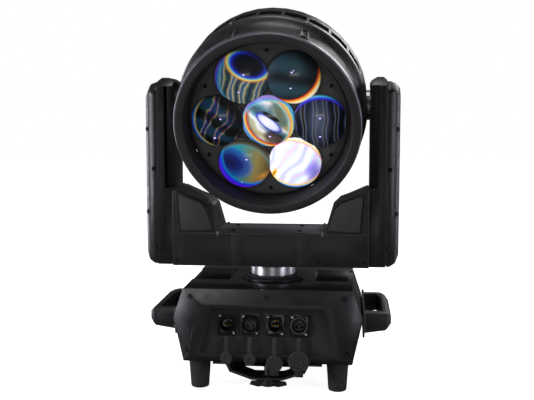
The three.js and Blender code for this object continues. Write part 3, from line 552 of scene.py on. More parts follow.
def copies(template, places):
    """Copies of a template at those places, each with its own mesh, joined into one object."""
    made = []
    for place in places:
        copy = template.copy()
        copy.data = template.data.copy()
        bpy.context.scene.collection.objects.link(copy)
        copy.data.transform(place)
        if place.determinant() < 0:
            copy.data.flip_normals()
        made.append(copy)
    only(made[0])
    for copy in made:
        copy.select_set(True)
    if len(made) > 1:
        bpy.ops.object.join()
    return made[0]


def scrap(*templates):
    """Takes away templates that were only copied from."""
    for template in templates:
        bpy.data.objects.remove(template)


for end, y in (("front", -78), ("rear", 78)):
    for side, x in (("left", -99.5), ("right", 99.5)):
        stood = copies(foot, [Matrix.Translation(Vector((x, y, 0)) * MM)])
        node = f"foot_{end}_{side}"
        finish_piece(stood, node + "_moulded", "base", [node])
scrap(foot)

# %% [markdown]
# ## Lenses
# Each lens is a plano-convex piece of clear acrylic, trimmed flat where it meets its neighbours. Cut light splits
# into colours in it, and every lens shows another part of the room: wavy bands, a dark pupil with a rainbow rim,
# a white flare. Tracing that through real glass would take thousands of samples, so these reflections, the split
# light and the shade at the rims are painted on as layers in the lens's own face map, and the painted colour also
# glows a little. Over it lies a hard clear coat that keeps the true reflections.


# %% Layers of dispersed light
LAYER_KINDS = {
    "bands": ("TexWave", {"bands_direction": "X", "wave_profile": "SIN"}, "Fac"),
    "spot": ("TexGradient", {"gradient_type": "SPHERICAL"}, "Fac"),
    "slope": ("TexGradient", {"gradient_type": "LINEAR"}, "Fac"),
}


def paint_lens_light(name, ground, layers, glow=0.32):
    """Clear acrylic over layers of painted reflection, painted split light and painted shade, whose colour also
    glows. A layer is (kind, centre, turn, size, texture inputs, ramp stops).
    A stop is (place, colour, cover): cover says how much of what lies below is hidden there."""
    material, tree = new_finish(name)
    face = add_node(tree, "UVMap", {"uv_map": "LensFace"}).outputs["UV"]
    seen = linear(ground)
    for kind, centre, turn, size, values, stops in layers:
        spot = add_node(tree, "Mapping", {"vector_type": "TEXTURE"}, {
            "Vector": face, "Location": (*centre, 0), "Rotation": (0, 0, math.radians(turn)),
            "Scale": (*size, 1)})
        node_kind, settings, output = LAYER_KINDS[kind]
        texture = add_node(tree, node_kind, settings, {"Vector": spot.outputs[0], **values})
        ramp = add_node(tree, "ValToRGB", inputs={"Fac": texture.outputs[output]})
        elements = ramp.color_ramp.elements
        while len(elements) < len(stops):
            elements.new(0.5)
        for element, (place, colour, cover) in zip(elements, stops):
            element.position = place
            element.color = (*linear(colour)[:3], cover)
        mix = add_node(tree, "Mix", {"data_type": "RGBA"},
                       {0: ramp.outputs["Alpha"], 6: seen, 7: ramp.outputs["Color"]})
        seen = mix.outputs[2]
    # The painted colour also drives the emission, so each lens glows though it is no lamp.
    shader = add_node(tree, "BsdfPrincipled", inputs={
        "Base Color": seen, "Roughness": 0.3, "IOR": 1.49, "Coat Weight": 0.6, "Coat Roughness": 0.02,
        "Emission Color": seen, "Emission Strength": glow})
    add_node(tree, "OutputMaterial", inputs={"Surface": shader.outputs[0]})
    return material


def painted_glint(x, y, size=0.05):
    """A painted reflection of a small lamp, white with a violet rim."""
    return ("spot", (x, y), 0, (size, size * 0.7), {},
            [(0.0, "#8a4dff", 0.0), (0.2, "#b07bff", 0.9), (0.7, "#ffffff", 1.0)])


def painted_rim_arc(x, y, size, stops):
    """Painted split light: colours outside a shifted circle, an arc along the rim on the other side."""
    return ("spot", (x, y), 0, (size, size), {}, stops)


def wavy(turn, spacing, distortion, stops, detail=1.0):
    """Bands at that spacing, in lens radii, bent by the surface."""
    values = {"Scale": 2 * math.pi / (20 * spacing), "Distortion": distortion, "Detail": detail,
              "Detail Scale": 1.2}
    return ("bands", (0, 0), turn, (1, 1), values, stops)


# %% The seven faces
# Painted shade along each lens's rim.
RIM_SHADE = ("spot", (0, 0), 0, (1.04, 1.04), {},
             [(0.0, "#05060a", 0.95), (0.05, "#0c0f18", 0.6), (0.1, "#10131c", 0.0)])
# Every layer below is painted light: reflections of the room, light split into colours, shade at the rims and
# reflected lamps.
PAINTED_LENS_LIGHT = {
    # top left: grey-blue with amber bands, under a dark pupil ringed by a rainbow
    "lens_3": ("#3f525c", [
        wavy(-12, 0.47, 4.5, [(0.0, "#16222a", 0.9), (0.3, "#2f5863", 0.75), (0.5, "#7d7434", 0.85),
                              (0.64, "#a8964a", 0.9),
                              (0.78, "#b9b49c", 0.8), (0.9, "#4f7690", 0.7), (1.0, "#2b4a66", 0.6)], 2.0),
        painted_rim_arc(0.34, -0.1, 1.34, [(0.0, "#8a3ec0", 0.9), (0.05, "#2746c0", 0.9), (0.12, "#2a8fb0", 0.8),
                                   (0.2, "#2a8fb0", 0.0)]),
        ("spot", (0.30, 0.50), -18, (0.96, 0.62), {}, [
            (0.0, "#c8642a", 0.0), (0.06, "#b8672c", 0.75), (0.14, "#e6cf58", 1.0), (0.21, "#69b8ae", 1.0),
            (0.28, "#2038d0", 1.0),
            (0.4, "#10145e", 1.0), (0.52, "#080a18", 1.0), (1.0, "#0d1014", 1.0)]),
        RIM_SHADE, painted_glint(0.12, 0.16), painted_glint(-0.1, -0.5)]),
    # top right: deep teal, black to the right, with a fiery arc along the lower right rim
    "lens_2": ("#14242b", [
        wavy(90, 0.9, 2.6, [(0.0, "#0a1216", 0.8), (0.5, "#1c333c", 0.7), (1.0, "#294853", 0.6)]),
        ("slope", (0.25, 0.3), 20, (0.7, 1), {},
         [(0.0, "#030508", 0.0), (0.5, "#030508", 0.8), (1.0, "#020304", 1.0)]),
        painted_rim_arc(-0.26, 0.36, 1.34, [(0.0, "#fff6d0", 1.0), (0.03, "#ffe070", 1.0), (0.065, "#ff9a1e", 1.0),
                                    (0.1, "#d8401a", 0.95),
                                    (0.14, "#3a1418", 0.6), (0.18, "#120c10", 0.0)]),
        RIM_SHADE, painted_glint(-0.05, 0.25), painted_glint(-0.1, -0.35), painted_glint(0.02, 0.31, 0.03)]),
    # left: black with drifting bands of teal, amber and blue
    "lens_4": ("#070a0c", [
        wavy(-14, 0.66, 7.0, [(0.0, "#040506", 1.0), (0.5, "#081c22", 0.95), (0.64, "#1c6a74", 0.85),
                              (0.74, "#b09a34", 0.9),
                              (0.82, "#c2641e", 0.9), (0.9, "#1c2c9c", 0.85), (1.0, "#060910", 0.95)], 4.0),
        wavy(70, 0.8, 6.0, [(0.0, "#030405", 0.85), (0.45, "#030405", 0.5), (0.7, "#0f5a66", 0.2),
                            (1.0, "#123a6a", 0.5)], 4.0),
        ("slope", (0.15, 0), 14, (0.8, 1), {}, [(0.0, "#030405", 0.0), (0.6, "#030405", 0.8),
                                                (1.0, "#020303", 0.97)]),
        painted_rim_arc(0.26, 0.06, 1.24, [(0.0, "#1826b0", 1.0), (0.06, "#156fb8", 0.9), (0.1, "#c8b23c", 0.7),
                                   (0.15, "#0a0e14", 0.0)]),
        RIM_SHADE, painted_glint(0.15, 0.15), painted_glint(-0.12, -0.62, 0.07)]),
    # middle: a bright slit of light folded by the hexagon, with warm and cool rims
    "lens_centre": ("#7c929c", [
        ("slope", (-1.0, 0.3), -20, (2.0, 1), {},
         [(0.0, "#b98a9c", 1.0), (0.2, "#6fb0bc", 1.0), (0.45, "#8b979f", 1.0),
                                                   (0.7, "#567a78", 1.0), (1.0, "#6b7078", 1.0)]),
        wavy(58, 1.1, 7.0, [(0.0, "#161c2c", 0.75), (0.3, "#4a8a98", 0.6), (0.55, "#d8dce4", 0.5),
                            (0.8, "#ffffff", 0.85),
                            (1.0, "#c8b85a", 0.6)], 3.0),
        ("spot", (0.42, 0.3), 20, (0.5, 0.6), {},
         [(0.0, "#3c6e70", 0.0), (0.3, "#3f6c6e", 0.8), (1.0, "#5c6a50", 0.9)]),
        ("spot", (0.02, 0.0), -38, (0.66, 0.24), {},
         [(0.0, "#1d2a90", 0.0), (0.2, "#2b3ab8", 0.95), (0.4, "#d8dcff", 1.0), (1.0, "#ffffff", 1.0)]),
        ("spot", (0.12, 0.24), -32, (0.44, 0.10), {},
         [(0.0, "#07080c", 0.0), (0.3, "#07080c", 1.0), (1.0, "#101218", 1.0)]),
        ("spot", (0.2, -0.62), -30, (0.5, 0.26), {},
         [(0.0, "#1a1014", 0.0), (0.35, "#43302c", 0.9), (1.0, "#5b4a40", 1.0)]),
        painted_rim_arc(0.3, 0.22, 1.25, [(0.0, "#3a86c8", 0.9), (0.03, "#e8d45a", 1.0), (0.07, "#f0761c", 1.0),
                                  (0.11, "#a8281c", 0.95),
                                  (0.18, "#401420", 0.4), (0.22, "#301420", 0.0)]),
        painted_rim_arc(-0.26, -0.12, 1.22, [(0.0, "#2fa0d8", 1.0), (0.05, "#e8d84a", 1.0), (0.1, "#ff9a4a", 0.9),
                                     (0.15, "#8ad8c8", 0.7),
                                     (0.2, "#8ad8c8", 0.0)]),
        painted_rim_arc(0.06, -0.3, 1.24, [(0.0, "#8a7ad8", 0.9), (0.04, "#5a78e0", 0.8), (0.08, "#48b4cc", 0.8),
                                   (0.13, "#9ad4d8", 0.0)]),
        painted_glint(0.05, -0.55, 0.06)]),
    # right: black and navy curtains with thin ochre seams, cyan sparks at its top
    "lens_1": ("#070b12", [
        wavy(2, 0.4, 2.6, [(0.0, "#030406", 1.0), (0.35, "#081228", 1.0), (0.6, "#182c54", 0.95),
                           (0.76, "#4a5870", 0.9),
                            (0.86, "#6e5f2c", 0.75), (0.93, "#0e1424", 1.0), (1.0, "#0b101c", 1.0)], 1.5),
        ("spot", (-0.05, 0.0), 0, (0.55, 1.1), {}, [(0.0, "#5c6a80", 0.0), (1.0, "#5c6a80", 0.5)]),
        painted_rim_arc(0.02, -0.26, 1.23, [(0.0, "#5fe4ff", 1.0), (0.03, "#2f55f0", 1.0), (0.08, "#3417b4", 0.8),
                                    (0.14, "#0a0c2a", 0.0)]),
        RIM_SHADE, painted_glint(0.0, 0.18), painted_glint(0.0, -0.55, 0.06)]),
    # bottom left: from deep blue through teal to olive gold
    "lens_5": ("#1f8498", [
        ("slope", (-1.0, 0.2), -12, (2.0, 1), {},
         [(0.0, "#0f8fb4", 1.0), (0.38, "#1f8690", 1.0), (0.56, "#5a7a60", 1.0),
                                                   (0.74, "#8c7a40", 1.0), (1.0, "#4c4626", 1.0)]),
        ("spot", (-0.45, 0.08), -28, (0.9, 0.66), {},
         [(0.0, "#1470b4", 0.0), (0.25, "#0c3c9c", 0.75), (0.6, "#071a68", 1.0),
                                                      (1.0, "#040c38", 1.0)]),
        painted_rim_arc(0.26, 0.3, 1.27, [(0.0, "#5a1fff", 1.0), (0.05, "#1826f0", 1.0), (0.12, "#0f86d0", 0.8),
                                  (0.19, "#1c9de0", 0.0)]),
        painted_rim_arc(-0.12, -0.4, 1.3, [(0.0, "#2b261f", 1.0), (0.07, "#564e3c", 0.9), (0.12, "#3f9090", 0.4),
                                   (0.18, "#2aa0b4", 0.0)]),
        ("spot", (0.7, -0.5), 30, (0.4, 0.2), {}, [(0.0, "#c8781e", 0.0), (1.0, "#d89a3a", 0.8)]),
        painted_glint(0.1, 0.22), painted_glint(-0.12, -0.75)]),
    # bottom right: a white flare with faint veils and a rainbow along its foot
    "lens_6": ("#f2f2fa", [
        wavy(-24, 0.9, 6.0, [(0.0, "#a9b0dc", 0.8), (0.3, "#f4f4ff", 0.9), (0.6, "#ffffff", 0.5),
                             (0.85, "#aed8ee", 0.8),
                             (1.0, "#d0b8ea", 0.85)], 2.0),
        ("spot", (0.74, -0.3), 10, (0.42, 0.55), {},
         [(0.0, "#6a58d8", 0.0), (0.5, "#7d68e0", 0.75), (1.0, "#4a3cb8", 0.85)]),
        painted_rim_arc(0.02, 0.28, 1.27, [(0.0, "#14109c", 1.0), (0.04, "#1a97e8", 1.0), (0.08, "#ffe34a", 1.0),
                                   (0.12, "#ff9a3a", 0.5),
                                   (0.17, "#ffffff", 0.0)]),
        painted_rim_arc(-0.1, -0.28, 1.27, [(0.0, "#ffffff", 1.0), (0.04, "#ffd84a", 1.0), (0.08, "#e87ac0", 0.7),
                                    (0.13, "#ffffff", 0.0)]),
        ("spot", (-0.80, -0.38), 62, (0.3, 0.11), {},
         [(0.0, "#ffb92e", 0.0), (0.4, "#ffb92e", 1.0), (1.0, "#5a3a1c", 1.0)]),
        # This painted flare glows more strongly than the other lenses.
        ], 0.7),
}
lens_painted_light_materials = {lens: paint_lens_light("polished_acrylic_with_painted_light_" + lens, *how) for lens, how in PAINTED_LENS_LIGHT.items()}
print(len(lens_painted_light_materials), "lens faces")

# %% A lens by hand
LENS_RADIUS = 37.5
LENS_PITCH = 72.5
FLAT = LENS_PITCH / 2 - 0.4


def lens_blank():
    """A domed disc with a small land at its rim, before its sides are trimmed."""
    dome = 9.5
    curve = (LENS_RADIUS**2 + dome**2) / (2 * dome)
    crown = [(r, 78 + math.sqrt(curve**2 - r**2) - curve + dome) for r in (0, 5, 10, 15, 20, 25, 30, 34)]
    return spun(forward(crown + [(37.0, 78.6), (37.5, 77.6), (37.5, 68.3), (0, 68.3)]), steps=72)


def trimmed(piece, angles):
    """Cuts the blank flat towards each neighbour, with bisect and a filled cut."""
    only(piece)
    bpy.ops.object.mode_set(mode="EDIT")
    for angle in angles:
        way = Vector((math.cos(math.radians(angle)), 0, math.sin(math.radians(angle))))
        bpy.ops.mesh.select_all(action="SELECT")
        bpy.ops.mesh.bisect(plane_co=way * FLAT * MM, plane_no=way, use_fill=True, clear_outer=True)
    close_edit()


blank = lens_blank()
for number in range(7):
    lens = "lens_centre" if number == 0 else f"lens_{number}"
    out = (number - 1) * 60
    made = copies(blank, [Matrix.Identity(4)])
    trimmed(made, range(0, 360, 60) if number == 0 else (out + 120, out + 180, out + 240))
    round_edges(made, 0.5, 2, 40)
    face_map = made.data.uv_layers.new(name="LensFace")
    for loop in made.data.loops:
        at = made.data.vertices[loop.vertex_index].co / (LENS_RADIUS * MM)
        face_map.data[loop.index].uv = (at.x, at.z)
    paint(made, lens_painted_light_materials[lens])
    pitch = 0 if number == 0 else LENS_PITCH * MM
    aside = Matrix.Translation((pitch * math.cos(math.radians(out)), 0, pitch * math.sin(math.radians(out))))
    finish_piece(settle(made, HEAD @ aside), lens + "_polished", "lens_ring", [lens])
scrap(blank)

# %% [markdown]
# ## Screws
# Nothing tells the size of a machine as plainly as its screws. A pan-head screw is modelled in two sizes, with a
# round recess, and copied to every place. At many places a ray finds the surface, so that each head sits square on
# it.


# %% A screw, and where it stands
def pan_head(radius, height):
    """A domed screw head with a recess, standing on the origin and facing +Z."""
    bpy.ops.object.select_all(action="DESELECT")
    bpy.ops.mesh.primitive_cylinder_add(vertices=18, radius=radius * MM, depth=height * MM,
                                        location=(0, 0, height * MM / 2))
    piece = bpy.context.object
    bpy.ops.object.transform_apply(location=True, rotation=True, scale=True)
    top = height * MM * 0.99
    edit(piece, "FACE", lambda at, way: at.z > top and way.z > 0.9)
    bpy.ops.mesh.inset(thickness=radius * MM * 0.48)
    bpy.ops.mesh.extrude_region_move(TRANSFORM_OT_translate={"value": (0, 0, -height * MM * 0.6)})
    close_edit()
    round_edges(piece, radius * 0.16, 2)
    return piece


def upright_on(point, normal):
    """A place at a point that turns +Z to the surface's normal."""
    return Matrix.Translation(point) @ Vector(normal).to_track_quat("Z", "Y").to_matrix().to_4x4()


def struck(piece, origin, way, sink=0.0):
    """Where a ray in millimetres strikes a piece, as a place on its surface."""
    hit, point, normal, _ = piece.ray_cast(Vector(origin) * MM, Vector(way).normalized())
    if not hit:
        raise ValueError(f"no surface of {piece.name} from {origin}")
    return upright_on(point - normal * sink * MM, normal)


big_screw = pan_head(3.6, 1.9)
paint(big_screw, black_oxide)
small_screw = pan_head(2.0, 1.1)
paint(small_screw, nickel)
FRONT = (0, 1, 0)
BACK = (0, -1, 0)

# %% Screws of the base covers
for cover, start, way in (("base_front_cover", -300, FRONT), ("base_rear_cover", 300, BACK)):
    places = [struck(rounded[cover], (x, start, z), way, 0.4) for x,
              z in ((0, 137), (-109, 137), (109, 137), (-114, 60), (114, 60))]
    finish_piece(copies(big_screw, places), cover + "_screws", "base")

# %% Screws of the arm covers and arms
for side, sx in (("left", -1), ("right", 1)):
    cover = rounded["arm_cover_" + side]
    places = [struck(cover, (sx * 172, y, z), (0, -math.copysign(1, y), 0), 0.5) for y in (-200,
        200) for z in (426, 314, 197)]
    places += [struck(cover, (sx * 300, y, z), (-sx, 0, 0), 0.4) for y in (-38.5, 38.5) for z in (250, 372)]
    finish_piece(copies(big_screw, places), f"arm_cover_{side}_screws", "yoke")

# %% Screws of the yoke covers and the bridge
for cover, start, way in (("yoke_front_cover", -300, FRONT), ("yoke_rear_cover", 300, BACK)):
    places = [struck(rounded[cover], (x, start, z), way, 0.5) for x,
              z in ((-136, 181), (136, 181), (-70, 181), (70, 181))]
    dark_screws = copies(small_screw, places)
    paint(dark_screws, black_oxide)
    finish_piece(dark_screws, cover + "_screws", "yoke")
down = (0, 0, -1)
places = [struck(rounded["yoke_bridge"], (x, y, 300), down, 0.3) for x in (-57, 42) for y in (-30, 30)]
finish_piece(copies(big_screw, places), "yoke_bridge_screws", "yoke")

# %% Screws of the lens plate and the socket flanges
places = []
for angle in range(30, 390, 60):
    x, z = 101 * math.cos(math.radians(angle)), 101 * math.sin(math.radians(angle))
    places.append(HEAD @ upright_on(Vector((x, -76, z)) * MM, (0, -1, 0)))
plate_screw = copies(small_screw, [Matrix.Scale(1.3, 4)])
paint(plate_screw, black_oxide)
finish_piece(copies(plate_screw, places), "lens_plate_screws", "lens_ring")
scrap(plate_screw)

# %% [markdown]
# ## Sockets
# Each panel socket is a square flange with a round shell in it. The frame has its outer shape. Here it gets rounded
# corners, a raised rim and two bright screws at the top left and bottom right; the outlets get inserts and the
# inlets contacts.

# %% Rims, inserts and contacts
FLANGE_Y = -106.3
SOCKET_Z = 99
SOCKETS = {"signal_in": (-56, 9.6), "signal_out": (-23, 9.8), "power_in": (12, 8.6), "power_out": (46, 10.0)}


def socket_place(x):
    return Matrix.Translation(Vector((x, FLANGE_Y, SOCKET_Z)) * MM)


def contact(radius, length):
    """A contact pin with a rounded nose that faces -Y."""
    pin = spun([(0, -length), (radius * 0.6, -length), (radius, 0.6 - length), (radius, 0), (0, 0)], steps=16)
    paint(pin, gold)
    return pin


signal_pin = contact(1.15, 7.5)
power_pin = contact(1.7, 8.5)
for name, (x, cup) in SOCKETS.items():
    node = name + "_socket"
    body = refined(node, 0.8, enamel, nylon_edge_with_painted_highlight)
    lip = 1.9 if name == "power_out" else 1.1
    rim = spun([(cup, 0.5), (cup, -1.2), (cup + 0.4, -1.7), (cup + lip, -1.7), (cup + lip + 0.5, -1.1),
                (cup + lip + 0.5, 0.5)], steps=48)
    paint(rim, nylon_edge_with_painted_highlight if name == "power_out" else enamel)
    finish_piece(settle(rim, socket_place(x)), name + "_socket_rim", "base")
    corners = [Matrix.Translation(Vector((x + side * 9.6, FLANGE_Y,
                                          SOCKET_Z - side * 12)) * MM) @ Matrix.Rotation(math.pi / 2, 4, "X")
               for side in (-1, 1)]
    finish_piece(copies(small_screw, corners), name + "_socket_screws", "base")

# Three gold pins stand in the signal inlet, and three heavier ones in the mains inlet.
for name, pin, depth, circle in (("signal_in", signal_pin, 15, 4.6), ("power_in", power_pin, 15, 4.6)):
    x = SOCKETS[name][0]
    ring = [Matrix.Translation(Vector((x + circle * math.cos(a), FLANGE_Y + depth,
                                       SOCKET_Z + circle * math.sin(a))) * MM)
            for a in (math.radians(90 + 120 * i) for i in range(3))]
    finish_piece(copies(pin, ring), name + "_contacts", "base")
scrap(signal_pin, power_pin)


def insert(radius, depth, holes, hole_radius, circle):
    """A round insert, chamfered at its face, with contact holes cut in it by a Boolean difference."""
    piece = spun([(0, depth), (radius, depth), (radius, 0.4), (radius - 0.5, 0), (0, 0)], steps=36)
    cutters = []
    for i in range(holes):
        angle = math.radians(90 + 360 * i / holes)
        hole = spun([(0, -1), (hole_radius, -1), (hole_radius, 4), (0, 4)], steps=16)
        cutters.append(settle(hole,
                              Matrix.Translation(Vector((circle * math.cos(angle), 0,
                                                         circle * math.sin(angle))) * MM)))
    for hole in cutters:
        only(piece)
        sink = piece.modifiers.new("contact_hole", "BOOLEAN")
        sink.operation = "DIFFERENCE"
        sink.object = hole
        sink.solver = "EXACT"
        bpy.ops.object.modifier_apply(modifier=sink.name)
    scrap(*cutters)
    only(piece)
    bpy.ops.object.shade_smooth_by_angle(angle=math.radians(32))
    return piece


core = insert(8.9, 8, 3, 1.5, 4.7)
paint(core, dark_core)
finish_piece(settle(core, socket_place(-23) @ Matrix.Translation((0, 2.6 * MM, 0))), "signal_out_insert",
             "base")
heavy_core = insert(8.6, 8, 3, 2.1, 4.7)
paint(heavy_core, nylon)
finish_piece(settle(heavy_core, socket_place(46) @ Matrix.Translation((0, 2.2 * MM, 0))), "power_out_insert",
             "base")

# %% The connector panel
# The floor of the front window is a printed sheet, duller and a little bluer than the moulding round it.
plate_sheet = grained("satin_black_printed_panel", "#141416", "#0e0e10", 0.6, 0.03, (0.6, 0.75))
front = rounded["base_front_cover"]
front.data.materials.append(plate_sheet)
panel_faces = [f for f in front.data.polygons if f.normal.y < -0.95 and abs(f.center.y + 0.104) < 0.4 * MM]
for face in panel_faces:
    face.material_index = 2
print(len(panel_faces), "faces of the panel")

# %% [markdown]
# ## Rubber caps
# Each cap has rings moulded into its face so that fingers find it. The two power caps are larger, and the widest
# one has a scalloped rim, which is a ring of small lobes.

# %% Rings and lobes on the caps
CAP_FACE = -0.1143
CAPS = {"signal_in": (-56, 52, 8.5), "signal_out": (-23, 51, 8.5), "power_in": (12, 46, 12.0),
        "power_out": (46, 50, 14.5)}
for name, (x, z, radius) in CAPS.items():
    rings = []
    for share in ((0.78, 0.4) if radius < 10 else (0.84, 0.58, 0.28)):
        r = radius * share
        rings.append(spun([(r - 0.9, 0.3), (r - 0.9, -0.5), (r - 0.5, -0.9), (r + 0.5, -0.9), (r + 0.9, -0.5),
                           (r + 0.9, 0.3)], steps=48))
    ridge = copies(rings[0], [Matrix.Identity(4)])
    for other in rings[1:]:
        extra = copies(other, [Matrix.Identity(4)])
        only(ridge)
        extra.select_set(True)
        bpy.ops.object.join()
    scrap(*rings)
    paint(ridge, rubber_rib)
    settle(ridge, Matrix.Translation((x * MM, CAP_FACE, z * MM)))
    finish_piece(ridge, name + "_cap_rings", name + "_cap_body")

lobe = spun([(0, -0.6), (1.2, -0.6), (1.7, 0), (1.7, 4.6), (1.2, 5.2), (0, 5.2)], steps=14)
paint(lobe, rubber)
lobes = [Matrix.Translation((46 * MM + 14.4 * MM * math.cos(a), CAP_FACE + 0.7 * MM,
                             50 * MM + 14.4 * MM * math.sin(a)))
         for a in (2 * math.pi * i / 18 for i in range(18)) if math.sin(a) < 0.97]
finish_piece(copies(lobe, lobes), "power_out_cap_lobes", "power_out_cap_body")
scrap(lobe)

# %% [markdown]
# ## Louvres in the base's top
# Warm air leaves beside the pan ring, through two fields of slats. One slat is a bar that is bevelled and tipped,
# and it is copied down the field.

# %% Slats
bpy.ops.object.select_all(action="DESELECT")
bpy.ops.mesh.primitive_cube_add(size=1)
slat = bpy.context.object
slat.scale = (48 * MM, 4.6 * MM, 1.0 * MM)
slat.rotation_euler.x = math.radians(15)
bpy.ops.object.transform_apply(location=True, rotation=True, scale=True)
paint(slat, powder_coat, powder_edge_with_painted_highlight)
round_edges(slat, 0.35, 2, 28, 1)
for side, sx in (("left", -1), ("right", 1)):
    rows = [Matrix.Translation((sx * 90 * MM, (-19.5 + 6.8 * i) * MM, 145.7 * MM)) for i in range(13)]
    finish_piece(copies(slat, rows), f"base_louvre_{side}", "base")
scrap(slat)

# %% [markdown]
# ## Handles
# A near-black pad on the near face of each bail is painted shade for its grip pocket, and the flange is held by
# screws.


# %% A raised or sunk pad from an outline
def pad(outline, y, thickness, bevel, face_finish, edge_finish, centre_shift=(0, 0)):
    """A flat pad on a face that looks to -Y: the outline is filled, extruded and its edges are rounded."""
    stations = [Vector((x + centre_shift[0], y, z + centre_shift[1])) * MM for x, z in outline]
    bpy.ops.object.select_all(action="DESELECT")
    bpy.ops.mesh.primitive_plane_add(size=MM)
    piece = bpy.context.object
    bpy.ops.object.mode_set(mode="EDIT")
    bpy.ops.mesh.select_mode(type="VERT")
    bpy.ops.mesh.select_all(action="SELECT")
    bpy.ops.mesh.merge(type="CENTER")
    bpy.ops.transform.translate(value=stations[0])
    for here, there in zip(stations, stations[1:] + stations[:1]):
        bpy.ops.mesh.extrude_region_move(TRANSFORM_OT_translate={"value": there - here})
    bpy.ops.mesh.select_all(action="SELECT")
    bpy.ops.mesh.remove_doubles(threshold=2e-6)
    bpy.ops.mesh.select_all(action="SELECT")
    bpy.ops.mesh.edge_face_add()
    bpy.ops.mesh.extrude_region_move(TRANSFORM_OT_translate={"value": (0, -thickness * MM, 0)})
    bpy.ops.mesh.select_all(action="SELECT")
    bpy.ops.mesh.normals_make_consistent(inside=False)
    close_edit()
    paint(piece, face_finish, edge_finish)
    round_edges(piece, bevel, 2, 28, 1)
    return piece


TURN_BACK = Matrix.Rotation(math.pi, 4, "Z")
FLANGE_FACE = 137.6  # outer face of a handle's flange
MIRROR = Matrix.Diagonal((-1, 1, 1, 1))
# Painted shade: a thin near-black pad, standing 0.5 mm proud, marks the shaded grip pocket.
pocket = pad([(141, 85), (158, 88.5), (164, 97), (164, 103), (141, 104.5)], -65.8, 0.5, 0.2, anti_glare,
             nylon_edge_with_painted_highlight)
for side, turn in (("left", MIRROR), ("right", Matrix.Identity(4))):
    finish_piece(copies(pocket, [turn]), f"handle_{side}_pocket", "base")
    sx = turn[0][0]
    spots = [upright_on(Vector((sx * FLANGE_FACE, y, z)) * MM, (sx, 0, 0)) for y in (-68.5, 89) for z in (84, 110)]
    finish_piece(copies(small_screw, spots), f"handle_{side}_screws", "base")
scrap(pocket)

# %% [markdown]
# ## Yoke covers
# The corner blocks carry a flat pad with a dark groove round it, and the face between them is divided by darker
# vertical fields. The pad is a filled outline with rounded edges that stands on a slightly larger, matt one: what
# shows of the lower one reads as the groove.

# %% Corner pads and their grooves
COVER_FACE = -57.9  # where the yoke cover's front face lies
PAD = [(83.5, 226.5), (129.5, 224.5), (133.5, 277.5), (101, 265.2), (92.5, 254.5)]
middle_x = sum(x for x, _ in PAD) / len(PAD)
middle_z = sum(z for _, z in PAD) / len(PAD)
GROOVE = [(middle_x + (x - middle_x) * 1.11, middle_z + (z - middle_z) * 1.11) for x, z in PAD]
corner_pad = pad(PAD, COVER_FACE, 1.5, 0.8, pad_black, rubbed_abs_with_painted_highlight)
corner_groove = pad(GROOVE, COVER_FACE, 0.3, 0.1, groove_black, groove_black)
front_field = pad([(-9, 175), (9, 175), (9, 221), (-9, 221)], COVER_FACE, 0.4, 0.2, anti_glare, moulded_abs)
# The seam is a strip in the paler edge colour: a painted highlight along it, with wear.
seam = pad([(-141, 220.4), (141, 220.4), (141, 221.8), (-141, 221.8)], COVER_FACE, 0.5, 0.2, rubbed_abs_with_painted_highlight,
           rubbed_abs_with_painted_highlight)
for face, turn in (("front", Matrix.Identity(4)), ("rear", TURN_BACK)):
    finish_piece(copies(corner_pad, [turn, turn @ MIRROR]), f"yoke_{face}_corner_pads", "yoke")
    finish_piece(copies(corner_groove, [turn, turn @ MIRROR]), f"yoke_{face}_corner_grooves", "yoke")
    fields = [turn @ Matrix.Translation((x * MM, 0, 0)) for x in (-47, 49)]
    finish_piece(copies(front_field, fields), f"yoke_{face}_fields", "yoke")
    finish_piece(copies(seam, [turn]), f"yoke_{face}_seam", "yoke")
scrap(corner_pad, corner_groove, front_field, seam)

# %% Zinc tabs at the feet of the corner blocks
# Small zinc-plated angles tie the covers to the bridge.
bpy.ops.object.select_all(action="DESELECT")
bpy.ops.mesh.primitive_cube_add(size=1)
tab = bpy.context.object
tab.scale = (3.4 * MM, 7 * MM, 1.0 * MM)
bpy.ops.object.transform_apply(location=True, rotation=True, scale=True)
edit(tab, "FACE", lambda at, way: way.y < -0.9)
bpy.ops.mesh.extrude_region_move(TRANSFORM_OT_translate={"value": (0, -1.0 * MM, 0)})
edit(tab, "FACE", lambda at, way: way.z < -0.9 and at.y < -3.6 * MM)
bpy.ops.mesh.extrude_region_move(TRANSFORM_OT_translate={"value": (0, 0, -5.5 * MM)})
close_edit()
round_edges(tab, 0.3, 2)
paint(tab, zinc)
tabs = [turn @ Matrix.Translation((x * MM, -54.0 * MM, 223.4 * MM)) for turn in (Matrix.Identity(4),
    TURN_BACK) for x in (-76, 76)]
finish_piece(copies(tab, tabs), "yoke_cover_tabs", "yoke")
scrap(tab)

# %% [markdown]
# ## Arm fronts
# Fine ribs run up the front and back of each arm beside its slot. One rib is a thin bar with a rounded nose.

# %% Ribs on the arms
bpy.ops.object.select_all(action="DESELECT")
bpy.ops.mesh.primitive_cube_add(size=1)
rib = bpy.context.object
rib.scale = (1.3 * MM, 1.4 * MM, 236 * MM)
bpy.ops.object.transform_apply(location=True, rotation=True, scale=True)
edit(rib, "FACE", lambda at, way: way.z > 0.9)
bpy.ops.transform.resize(value=(1, 0.3, 1), center_override=(0, 0.7 * MM, 118 * MM))
close_edit()
paint(rib, powder_coat, powder_edge_with_painted_highlight)
round_edges(rib, 0.4, 2, 28, 1)
for side, sx in (("left", -1), ("right", 1)):
    ribs = [turn @ Matrix.Translation((s * x * MM, -48.2 * MM, 311 * MM))
            for turn, s in ((Matrix.Identity(4), sx), (TURN_BACK, -sx)) for x in (158.4, 161.0, 163.6)]
    finish_piece(copies(rib, ribs), f"yoke_arm_{side}_ribs", "yoke")
scrap(rib)

